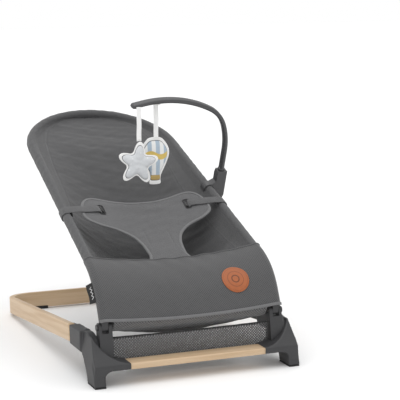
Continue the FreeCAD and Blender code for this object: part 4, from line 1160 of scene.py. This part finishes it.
# ---- harness --------------------------------------------------------------------------------------------
@dataclass
class Harness:
    """T-shaped crotch pad with bound edges, and the two webbing straps to the tube."""
    low: Tuple[float, float] = (0.070, -0.020)
    high: Tuple[float, float] = (0.290, 0.002)
    thickness: float = 0.0052
    half_outline: Tuple[Tuple[float, float], ...] = (
        (0.0385, 0.000), (0.0395, 0.030), (0.044, 0.070), (0.058, 0.102), (0.084, 0.125), (0.120, 0.139),
        (0.143, 0.158), (0.146, 0.184), (0.138, 0.212), (0.122, 0.228), (0.098, 0.229), (0.060, 0.219), (0.025, 0.212))
    strap_along: float = 0.259
    strap_width: float = 0.0245
    slot_x: float = 0.103
    slot_size: Tuple[float, float] = (0.013, 0.031)

    def place(self, x: Array, run: Array, lift: Array) -> Array:
        """Point of the pad: run goes up its slope, its wings rise, and its crotch end dips to the seam."""
        length = math.hypot(self.high[0] - self.low[0], self.high[1] - self.low[1])
        share = run / length
        along = self.low[0] + share * (self.high[0] - self.low[0])
        over = self.low[1] + share * (self.high[1] - self.low[1])
        wing = 0.0085 * smoothstep((np.abs(x) - 0.06) / 0.085)
        dip = 0.004 * np.sin(np.clip(share, 0, 1) * math.pi) * (1 - np.minimum(np.abs(x) / 0.15, 1.0) ** 2)
        return LINES.back_point(x, along, over + wing - dip + lift)

    def outline(self, count: int) -> Array:
        """Closed outline in the pad's own plane, smooth through its table and the table mirrored."""
        half = np.array(self.half_outline)
        mirror = half[::-1] * np.array([-1.0, 1.0])
        return smooth_curve(np.vstack([half, mirror]), count, closed=True)

    def pad(self, cloth: bpy.types.Material, binding: bpy.types.Material) -> None:
        """Crowned pad: share r from the middle to the outline, lifted by (1 - r^4) and sewn along two lines."""
        ring = self.outline(241)
        middle = np.array([0.0, 0.175])
        share = np.sin(np.linspace(0, math.pi / 2, 40))
        both = np.r_[share, share[-2::-1]]
        side = np.r_[np.ones(40), -np.ones(39)]
        flat = middle + both[:, None, None] * (ring - middle)
        x, run = flat[..., 0], flat[..., 1]
        soft_edge = np.sqrt(np.maximum(1 - both ** 6, 0.0))[:, None]
        crown = self.thickness / 2 * soft_edge * (0.55 + 0.45 * (1 - both[:, None] ** 2))
        seam = np.exp(-((np.abs(x) - 0.027) / 0.0018) ** 2) * (1 - smoothstep((run - 0.10) / 0.03))
        uneven = 0.0006 * ripple(x * 28, run * 28, 51) * (1 - both[:, None] ** 4)
        rise = 0.0018 + side[:, None] * crown * (1 - 0.45 * seam) + uneven
        points = self.place(x, run, rise)
        surface = Surface(points, flat, {"border": (both[:, None] - 0.9) * 0.05 + 0.0 * x})
        obj = piece("harness_pad", surface, "seat", ["harness"], [cloth])
        line = self.place(ring[:, 0], ring[:, 1], np.full(len(ring), 0.0018))
        across, up = ring_axes(line, LINES.normal, closed=True)
        bead = sweep(line, across, up, rounded_box(0.0066, 0.0042, 0.0019, 5), closed=True)
        outer_cloth(bead)
        piece("harness_binding", bead, "seat", [], [binding])

    def strap(self, side: int, name: str, webbing: bpy.types.Material) -> None:
        """Webbing: from the slot in the wing up to the top of the tube, once round it and back under itself."""
        half = float(LINES.half_at(np.array(self.strap_along)))
        wrap = LINES.sleeve + CLOTH_OVER_SLEEVE
        turn = np.linspace(math.radians(100), math.radians(-150), 40)
        start = np.array([[self.slot_x - 0.002, 0.0030], [self.slot_x + 0.006, 0.0100], [self.slot_x + 0.03, 0.0106],
                          [half - 0.03, wrap + 0.0004], [half - 0.012, wrap + 0.0002]])
        around = np.c_[half + wrap * np.cos(turn), wrap * np.sin(turn)]
        tail = np.array([[half - wrap - 0.0004, 0.0012], [half - wrap - 0.001, 0.0062]])
        route = smooth_curve(np.vstack([start, around[::5], tail]), 140)
        path = LINES.back_point(side * route[:, 0], np.full(len(route), self.strap_along), route[:, 1])
        wide = np.array([-side * math.sin(LINES.taper), math.cos(LINES.back) * math.cos(LINES.taper),
                         math.sin(LINES.back) * math.cos(LINES.taper)])
        across, up = band_axes(path, wide)
        surface = sweep(path, across, up, rounded_box(self.strap_width, 0.0015, 0.0006, 4))
        outer_cloth(surface)
        node = ("right" if side > 0 else "left") + "_strap"
        piece(name, surface, "seat", [node], [webbing])

    def slot(self, side: int, name: str, binding: bpy.types.Material, lining: bpy.types.Material) -> None:
        """Strap slot: a small sewn bead round a long rounded opening across the wing, and a black sheet in the opening
        as painted shade.
        """
        ring = rounded_box(self.slot_size[0], self.slot_size[1], 0.0045, 9)
        length = math.hypot(self.high[0] - self.low[0], self.high[1] - self.low[1])
        run = (self.strap_along - self.low[0]) / (self.high[0] - self.low[0]) * length
        line = self.place(side * (self.slot_x - 0.002) + ring[:, 0], run + ring[:, 1], np.full(len(ring), 0.0042))
        across, up = ring_axes(line, LINES.normal, closed=True)
        bead = sweep(line, across, up, rounded_box(0.0024, 0.0018, 0.0008, 4), closed=True)
        outer_cloth(bead)
        piece(name, bead, "seat", [], [binding])
        # the gap piece is a black sheet laid in the opening: painted shade inside the slot
        share = np.linspace(0, 1, 8)[:, None]
        x = side * (self.slot_x - 0.002) + share * ring[None, :, 0]
        dark = self.place(x, run + share * ring[None, :, 1], 0.0046 - 0.0006 * share + 0.0 * x)
        flat = np.stack([share * ring[None, :, 0], share * ring[None, :, 1]], -1)
        inside = Surface(np.concatenate([dark, dark[-1:] * 0 + dark[:1, :1]]), np.concatenate([flat, flat[-1:] * 0]))
        piece(name.replace("edge", "gap"), inside, "seat", [], [lining])

    def build(self, finishes: Dict[str, bpy.types.Material]) -> None:
        """Make the pad, its slots and both straps."""
        self.pad(finishes["harness_cloth"], finishes["binding"])
        for side, word in ((1, "right"), (-1, "left")):
            self.strap(side, word + "_webbing", finishes["webbing"])
            self.slot(side, word + "_slot_edge", finishes["dark_binding"], finishes["lining"])


# ---- trim -----------------------------------------------------------------------------------------------
@dataclass
class Trim:
    """Leather patch on the apron and the woven flag label on the left tube."""
    patch_x: float = 0.109
    patch_q: float = 0.030
    radius: float = 0.0295
    label_drop: float = 0.024
    label_length: float = 0.045
    label_width: float = 0.0165

    def patch(self, leather: bpy.types.Material, fabric: SeatFabric) -> None:
        """Disc laid on the apron: each of its points is the apron's, found between grid lines, moved out."""
        points, uv = fabric.apron_grid()
        ring = np.linspace(0, 2 * math.pi, 97)[None]
        share = np.r_[np.linspace(0, 0.97, 16), 1.0, 1.0, 0.97, 0.0][:, None]
        lift = np.r_[np.full(16, 0.0019), 0.0014, 0.0004, 0.0001, 0.0001][:, None]
        x = self.patch_x + self.radius * share * np.cos(ring)
        q = self.patch_q + self.radius * share * np.sin(ring)
        col = np.interp(x, uv[75, :, 0], np.arange(uv.shape[1]))
        i = np.clip(col.astype(int), 0, uv.shape[1] - 2)
        start, stop = uv[0, i, 1], uv[-1, i, 1]
        row = (q - start) / (stop - start) * (uv.shape[0] - 1)
        j = np.clip(row.astype(int), 0, uv.shape[0] - 2)
        fx, fy = (col - i)[..., None], (row - j)[..., None]
        a = points[j, i] * (1 - fx) + points[j, i + 1] * fx
        c = points[j + 1, i] * (1 - fx) + points[j + 1, i + 1] * fx
        base = a * (1 - fy) + c * fy
        normal = unit(np.cross(points[j, i + 1] - points[j, i], points[j + 1, i] - points[j, i]))
        surface = Surface(base + normal * lift[..., None], np.stack([x - self.patch_x, q - self.patch_q], -1))
        piece("leather_badge", surface, "seat", ["leather_patch"], [leather])

    def label(self, woven: bpy.types.Material) -> None:
        """Folded flag: a thin slab down the tube's side that curls a little away from it."""
        s = np.linspace(0, 1, 40)[:, None]
        w = np.linspace(0, 1, 20)[None]
        drop = self.label_drop - self.label_length / 2 + self.label_length * s
        q = LINES.tangent - drop
        out = 0.0035 - 0.7 * self.label_width * w
        x = -(LINES.half_width + LINES.sleeve + 0.0006 + 0.0115 * w ** 1.2 + 0.0006 * np.sin(7 * s) * w)
        points = LINES.front_point(x + 0.0 * s, q + 0.0 * w, out + 0.0 * s)
        uv = np.stack([w * self.label_width + 0.0 * s, s * self.label_length + 0.0 * w], -1)
        surface = slab(points, 0.0008, uv)
        obj = piece("flag_label", surface, "seat", ["side_label"], [woven])

    def build(self, finishes: Dict[str, bpy.types.Material], fabric: SeatFabric) -> None:
        """Make the patch and the label."""
        self.patch(finishes["leather"], fabric)
        self.label(finishes["label"])


# ---- toy bar and toys -----------------------------------------------------------------------------------
@dataclass
class ToyBar:
    """Clip on the right tube, and the flat bar that swivels in it."""
    along: float = 0.333
    socket_x: float = 0.207
    socket_high: float = 0.046
    straight_top: float = 0.096
    arcs: Tuple[Tuple[float, float, float], ...] = ((0.180, 90.0, 68.0), (0.080, 68.0, 27.0), (0.240, 27.0, -13.0))
    end: float = 0.027
    width: float = 0.019
    thickness: float = 0.0105

    def centre_line(self) -> Array:
        """(x, over) of the bar: straight up, three arcs whose heading falls, and a short straight end."""
        xs, overs = [np.full(12, self.socket_x)], [np.linspace(self.socket_high + 0.0004, self.straight_top, 12)]
        x, over = self.socket_x, self.straight_top
        for radius, first, last in self.arcs:
            h0 = math.radians(first)
            h = np.radians(np.linspace(first, last, 36))[1:]
            xs.append(x - radius * (math.sin(h0) - np.sin(h)))
            overs.append(over + radius * (np.cos(h) - math.cos(h0)))
            x, over = float(xs[-1][-1]), float(overs[-1][-1])
        h = math.radians(self.arcs[-1][2])
        run = np.linspace(0, self.end, 10)[1:]
        xs.append(x - run * math.cos(h))
        overs.append(over + run * math.sin(h))
        return np.c_[np.concatenate(xs), np.concatenate(overs)]

    def bar(self, plastic: bpy.types.Material) -> None:
        """Bar: a rounded flat profile that widens from stem to tip and closes in a half round end."""
        flat = self.centre_line()
        path = LINES.back_point(flat[:, 0], np.full(len(flat), self.along), flat[:, 1])
        wide = LINES.rising
        across, up = band_axes(path, wide)
        run = lengths_along(path)
        share = run / run[-1]
        close = np.sqrt(np.clip(1 - np.clip((run - run[-1] + 0.006) / 0.006, 0, 1) ** 2, 0.02, 1))
        width = (0.84 + 0.16 * smoothstep(share * 1.3)) * (0.4 + 0.6 * close)
        thick = (1.0 - 0.08 * share) * close
        profile = rounded_box(self.width, self.thickness, 0.0048, 7)
        surface = sweep(path, across, up, profile, np.c_[width, thick])
        surface.values["reach"] = np.r_[share[:1], share, share[-1:]][:, None] + 0.0 * surface.uv[..., 0]
        piece("flat_bar", surface, "toy_arm", ["toy_bar"], [plastic])
        ring = np.linspace(0, 2 * math.pi, 40)
        low = LINES.back_point(np.array(self.socket_x), np.array(self.along), np.array(self.socket_high + 0.0004))
        rows = np.array([(0.0, 0.0), (0.0068, 0.0), (0.0083, 0.0012), (0.0083, 0.0040), (0.0070, 0.0056),
                         (0.0, 0.0056)])
        around = np.cos(ring)[None, :, None] * np.array([1.0, 0.0, 0.0]) + np.sin(ring)[None, :, None] * wide
        collar = low + rows[:, :1, None] * around + rows[:, 1:, None] * LINES.normal
        flat_uv = np.stack([rows[:, :1] * np.cos(ring), rows[:, :1] * np.sin(ring)], -1)
        grid = Surface(collar, flat_uv, {"reach": np.zeros(collar.shape[:2])})
        piece("bar_collar", grid, "toy_arm", [], [plastic])

    def tab(self, name: str, x: float, forward: float, cloth: bpy.types.Material) -> None:
        """Ribbon's end under the bar: a thin profile carried round the lower part of the bar's section.

        Args:
            name: piece name.
            x: place across.
            forward: -1 where the ribbon hangs before the bar and 1 behind it.
            cloth: finish.
        """
        flat = self.centre_line()
        order = np.argsort(flat[60:, 0])
        over = float(np.interp(x, flat[60:, 0][order], flat[60:, 1][order]))
        turn = np.linspace(0.0, math.radians(115), 24)
        reach = (self.width / 2 + 0.0011) * np.abs(np.cos(turn)) ** 0.45 * np.sign(np.cos(turn))
        ring = np.c_[forward * reach, -(self.thickness / 2 + 0.0006) * np.sin(turn) ** 0.45]
        path = LINES.back_point(np.full(len(ring), x), self.along + ring[:, 0], over + ring[:, 1])
        across, up = band_axes(path, np.array([1.0, 0.0, 0.0]))
        surface = sweep(path, across, up, rounded_box(0.011, 0.0008, 0.0003, 3))
        outer_cloth(surface)
        piece(name, surface, "toy_arm", [], [cloth])

    def build(self, finishes: Dict[str, bpy.types.Material]) -> None:
        """Make the clip, the bar and the ribbons' sewn ends."""
        rounded_copy("toy_bar_clip", "moulded_clip", "seat", finishes["bar"], 0.0006, 5)
        self.bar(finishes["bar"])
        self.tab("star_tab", -0.019, -1.0, finishes["ribbon"])
        self.tab("balloon_tab", 0.027, 1.0, finishes["ribbon"])


@dataclass
class HangingToy:
    """A plush toy on a flat ribbon that hangs from the bar."""
    word: str
    pattern: Print
    hang: Tuple[float, float, float]
    route: Tuple[Tuple[float, float, float], ...]
    twist: float
    back: float
    middle: Tuple[float, float]
    length: float
    half_thickness: float = 0.0078
    ribbon_width: float = 0.011
    border_from: float = 0.84

    def outline(self) -> Array:
        """Outline round the toy's middle: a five-pointed star with soft points, or a balloon over its basket."""
        if self.pattern is Print.STAR:
            angle = np.linspace(0, 2 * math.pi, 241)
            lobe = ((1 + np.cos(5 * (angle - math.radians(90 - 7)))) / 2) ** 1.3
            radius = 0.0270 + 0.0208 * lobe
            return np.c_[radius * np.cos(angle), radius * np.sin(angle)]
        top = self.hang[2] - self.middle[1]
        half = np.array([(0.012, top), (0.024, top - 0.0095), (0.0325, top - 0.024), (0.0335, top - 0.038),
                         (0.029, top - 0.053), (0.021, top - 0.070), (0.0145, top - 0.083), (0.0128, top - 0.094),
                         (0.0115, top - 0.1035)])
        return smooth_curve(np.vstack([half, half[::-1] * np.array([-1.0, 1.0])]), 241, closed=True)

    def build(self, finishes: Dict[str, bpy.types.Material]) -> None:
        """Make the pillow with its flat sewn border, then its ribbon along the route's spline."""
        def half(r: Array) -> Array:
            """Flat border outside, and a full crown inside it."""
            crown = np.sqrt(np.clip(1 - (r / self.border_from) ** 2.6, 0, 1))
            rim = np.sqrt(np.clip(1 - ((r - self.border_from) / (1 - self.border_from)).clip(0, 1) ** 4, 0, 1))
            return (self.half_thickness - 0.0012) * crown + 0.0012 * rim

        centre = np.array([self.middle[0], self.back, self.middle[1]])
        surface = disc_shell(self.outline(), centre, half, 40)
        across, up = surface.uv[..., 0] * 70, surface.uv[..., 1] * 70
        soft = 0.0004 * ripple(across, up, 61) * (1 - surface.values["reach"] ** 3)
        surface.points[..., 1] += soft
        body = "hanging_" + self.word
        toy = piece(self.word + "_plush", surface, body, [self.word + "_toy"],
                    [finishes[self.word]])
        path = self.ribbon_path()
        tangent = unit(np.gradient(path, axis=0))
        out = unit(np.cross(tangent, np.tile([1.0, 0.0, 0.0], (len(path), 1))))
        across = unit(np.cross(out, tangent))
        run = lengths_along(path)
        spin = self.twist * smoothstep((run / run[-1] - 0.25) / 0.5)
        band = sweep(path, across, out, rounded_box(self.ribbon_width, 0.0009, 0.0004, 3), spin=spin)
        outer_cloth(band)
        ribbon = piece(self.word + "_hanging_ribbon", band, body, [self.word + "_ribbon"],
                       [finishes["ribbon"]])
        LOG.info("%s ribbon is %.1f mm long", self.word, float(run[-1]) * 1000)

    def ribbon_path(self) -> Array:
        """Points along the ribbon: a second-degree spline from end to end, pulled by the points between."""
        curve = bpy.data.curves.new(self.word + "_route", "CURVE")
        curve.dimensions = "3D"
        spline = curve.splines.new("NURBS")
        spline.points.add(len(self.route) - 1)
        spline.points.foreach_set("co", np.c_[np.array(self.route), np.ones(len(self.route))].ravel())
        spline.order_u = 3
        spline.use_endpoint_u = True
        spline.resolution_u = 16
        guide = bpy.data.objects.new(self.word + "_route", curve)
        bpy.context.scene.collection.objects.link(guide)
        bpy.context.view_layer.update()
        line = bpy.data.meshes.new_from_object(guide.evaluated_get(bpy.context.evaluated_depsgraph_get()))
        path = np.zeros(len(line.vertices) * 3)
        line.vertices.foreach_get("co", path)
        bpy.data.objects.remove(guide)
        return path.reshape(-1, 3)


# ---- studio ---------------------------------------------------------------------------------------------
@dataclass
class Studio:
    """Camera, floor and soft light."""
    eye: Tuple[float, float, float] = (-1.1103, -3.0746, 0.8723)
    yaw: float = math.radians(22.406)
    pitch: float = math.radians(9.795)
    lens: float = 132.4
    surround_light: float = 0.72
    surround_seen: float = 1.0

    def camera(self) -> None:
        """Camera that looks along its yaw towards +X and its pitch down."""
        data = bpy.data.cameras.new("view")
        data.lens = self.lens
        data.sensor_width = 36.0
        data.clip_end = 50.0
        cam = bpy.data.objects.new("view", data)
        look = Vector((math.sin(self.yaw) * math.cos(self.pitch), math.cos(self.yaw) * math.cos(self.pitch),
                       -math.sin(self.pitch)))
        cam.location = self.eye
        cam.rotation_mode = "QUATERNION"
        cam.rotation_quaternion = look.to_track_quat("-Z", "Y")
        bpy.context.scene.collection.objects.link(cam)
        bpy.context.scene.camera = cam

    def floor(self) -> None:
        """Plain pale floor, a grid of a few large faces."""
        side = np.linspace(-12, 12, 5)
        x, y = np.meshgrid(side, side)
        mesh = bpy.data.meshes.new("floor")
        mesh.from_pydata(np.c_[x.ravel(), y.ravel(), np.full(25, -0.0002)].tolist(), [], grid_faces(5, 5).tolist())
        material = bpy.data.materials.new("pale floor")
        material.use_nodes = True
        shader = material.node_tree.nodes["Principled BSDF"]
        shader.inputs["Base Color"].default_value = (0.93, 0.93, 0.93, 1.0)
        shader.inputs["Roughness"].default_value = 0.9
        shader.inputs["Specular IOR Level"].default_value = 0.1
        mesh.materials.append(material)
        obj = bpy.data.objects.new("floor", mesh)
        bpy.context.scene.collection.objects.link(obj)

    def lamp(self, name: str, place: Tuple[float, float, float], spread: float, power: float) -> None:
        """Wide soft lamp in the direction of a place, even over the whole floor.

        Args:
            name: lamp name.
            place: where the light comes from, as seen from the seat.
            spread: width of the source in degrees.
            power: strength.
        """
        data = bpy.data.lights.new(name, "SUN")
        data.angle = math.radians(spread)
        data.energy = power
        obj = bpy.data.objects.new(name, data)
        obj.location = place
        obj.rotation_mode = "QUATERNION"
        obj.rotation_quaternion = (Vector((0.0, 0.0, 0.2)) - Vector(place)).to_track_quat("-Z", "Y")
        bpy.context.scene.collection.objects.link(obj)

    def build(self) -> None:
        """Set the camera, floor, lamps and pale surround."""
        self.camera()
        self.floor()
        self.lamp("key", (-1.4, -1.8, 3.2), 50.0, 0.45)
        self.lamp("top", (0.2, 0.3, 3.0), 70.0, 1.20)
        world = bpy.data.worlds.new("pale surround")
        world.use_nodes = True
        seen = world.node_tree.nodes.new("ShaderNodeLightPath").outputs["Is Camera Ray"]
        level = world.node_tree.nodes.new("ShaderNodeMapRange")
        level.inputs["To Min"].default_value = self.surround_light
        level.inputs["To Max"].default_value = self.surround_seen
        world.node_tree.links.new(seen, level.inputs["Value"])
        ground = world.node_tree.nodes["Background"]
        ground.inputs["Color"].default_value = (1.0, 1.0, 1.0, 1.0)
        world.node_tree.links.new(level.outputs[0], ground.inputs["Strength"])
        bpy.context.scene.view_settings.view_transform = "Standard"
        bpy.context.scene.world = world


def build_finishes() -> Dict[str, bpy.types.Material]:
    """Every finish by its plain name."""
    build_effects()
    made = {
        "timber": TimberFinish("clear plywood", (0.66, 0.49, 0.32), (0.57, 0.40, 0.24)),
        "plastic": PlasticFinish("charcoal moulding", (0.038, 0.038, 0.040), 0.52),
        "rubber": PlasticFinish("black rubber", (0.016, 0.016, 0.017), 0.8, 0.0012, 0.2),
        "button": PlasticFinish("button plastic", (0.030, 0.030, 0.032), 0.3, 0.0005, 0.05),
        "paint": PlasticFinish("powder coat", (0.045, 0.045, 0.047), 0.5, 0.0006, 0.2),
        "bar": PlasticFinish("bar plastic", (0.062, 0.062, 0.065), 0.38, 0.0006, 0.08),
        "steel": SteelFinish("plated steel", (0.56, 0.56, 0.57)),
        "cloth": ClothFinish("woven grey", (0.086, 0.086, 0.088), pitch=0.0011, mottle=0.32),
        "sling_cloth": ClothFinish("woven grey with sewn border", (0.086, 0.086, 0.088), inner=(0.080, 0.080, 0.082),
                                   mottle=0.34, stitched=0.003, thread=(0.115, 0.115, 0.118)),
        "apron_cloth": ClothFinish("spacer knit", (0.100, 0.100, 0.102), knit=0.0050, hole=0.55, mottle=0.2,
                                   strength=0.7),
        "lining": ClothFinish("black lining", (0.012, 0.012, 0.013), pitch=0.0013, mottle=0.25),
        "mesh": ClothFinish("open mesh", (0.125, 0.125, 0.128), knit=0.0060, hole=0.9, clear=0.75, mottle=0.25,
                            strength=0.9),
        # the near-black inner colour of this mesh is painted shade in the gap under the apron
        "mesh_with_painted_shade": ClothFinish("open mesh with painted shade", (0.170, 0.170, 0.173), inner=(0.006, 0.006, 0.006),
                                  knit=0.0060, hole=0.9, mottle=0.25, strength=0.9),
        "harness_cloth": ClothFinish("harness knit", (0.118, 0.118, 0.121), pitch=0.0015, mottle=0.42, strength=0.5),
        "binding": ClothFinish("light binding", (0.165, 0.165, 0.168), pitch=0.0012, mottle=0.25, strength=0.5),
        "dark_binding": ClothFinish("dark binding", (0.030, 0.030, 0.031), pitch=0.0012, mottle=0.25),
        "webbing": ClothFinish("strap webbing", (0.098, 0.098, 0.100), pitch=0.0022, mottle=0.2, strength=0.8),
        "ribbon": ClothFinish("white ribbon", (0.90, 0.90, 0.89), pitch=0.0008, mottle=0.06, strength=0.3),
        "leather": LeatherFinish("tan leather", (0.37, 0.100, 0.026), 0.0295),
        "label": LabelFinish("woven label"),
        "star": PlushFinish("star print", Print.STAR, 0.84),
        "balloon": PlushFinish("balloon print", Print.BALLOON, 0.84),
    }
    return {name: finish.build() for name, finish in made.items()}


def main() -> None:
    """Build the studio and every sub-assembly in order."""
    logging.basicConfig(level=logging.INFO, format="%(name)s %(message)s")
    Studio().build()
    finishes = build_finishes()
    toys: List[HangingToy] = [
        HangingToy("star", Print.STAR, (-0.0190, -0.0791689, 0.4527),
                   ((-0.0190, -0.0791689, 0.5267), (-0.0193, -0.0793, 0.5085), (-0.0184, -0.0790, 0.4845),
                    (-0.0196, -0.0792, 0.4685), (-0.0190, -0.0791689, 0.4527)),
                   0.0, -0.0871, (-0.0248, 0.4049), 0.074),
        HangingToy("balloon", Print.BALLOON, (0.0270, -0.0616804, 0.4555),
                   ((0.0270, -0.0616804, 0.5425), (0.0267, -0.0618, 0.5205), (0.0276, -0.0616, 0.4945),
                    (0.0266, -0.0617, 0.4745), (0.0270, -0.0616804, 0.4555)),
                   0.7, -0.0538, (0.0270, 0.4106), 0.087),
    ]
    for toy in toys:
        toy.build(finishes)
    fabric = SeatFabric()
    Base().build(finishes)
    fabric.build(finishes)
    Harness().build(finishes)
    Trim().build(finishes, fabric)
    ToyBar().build(finishes)


if __name__ == "__main__":
    main()
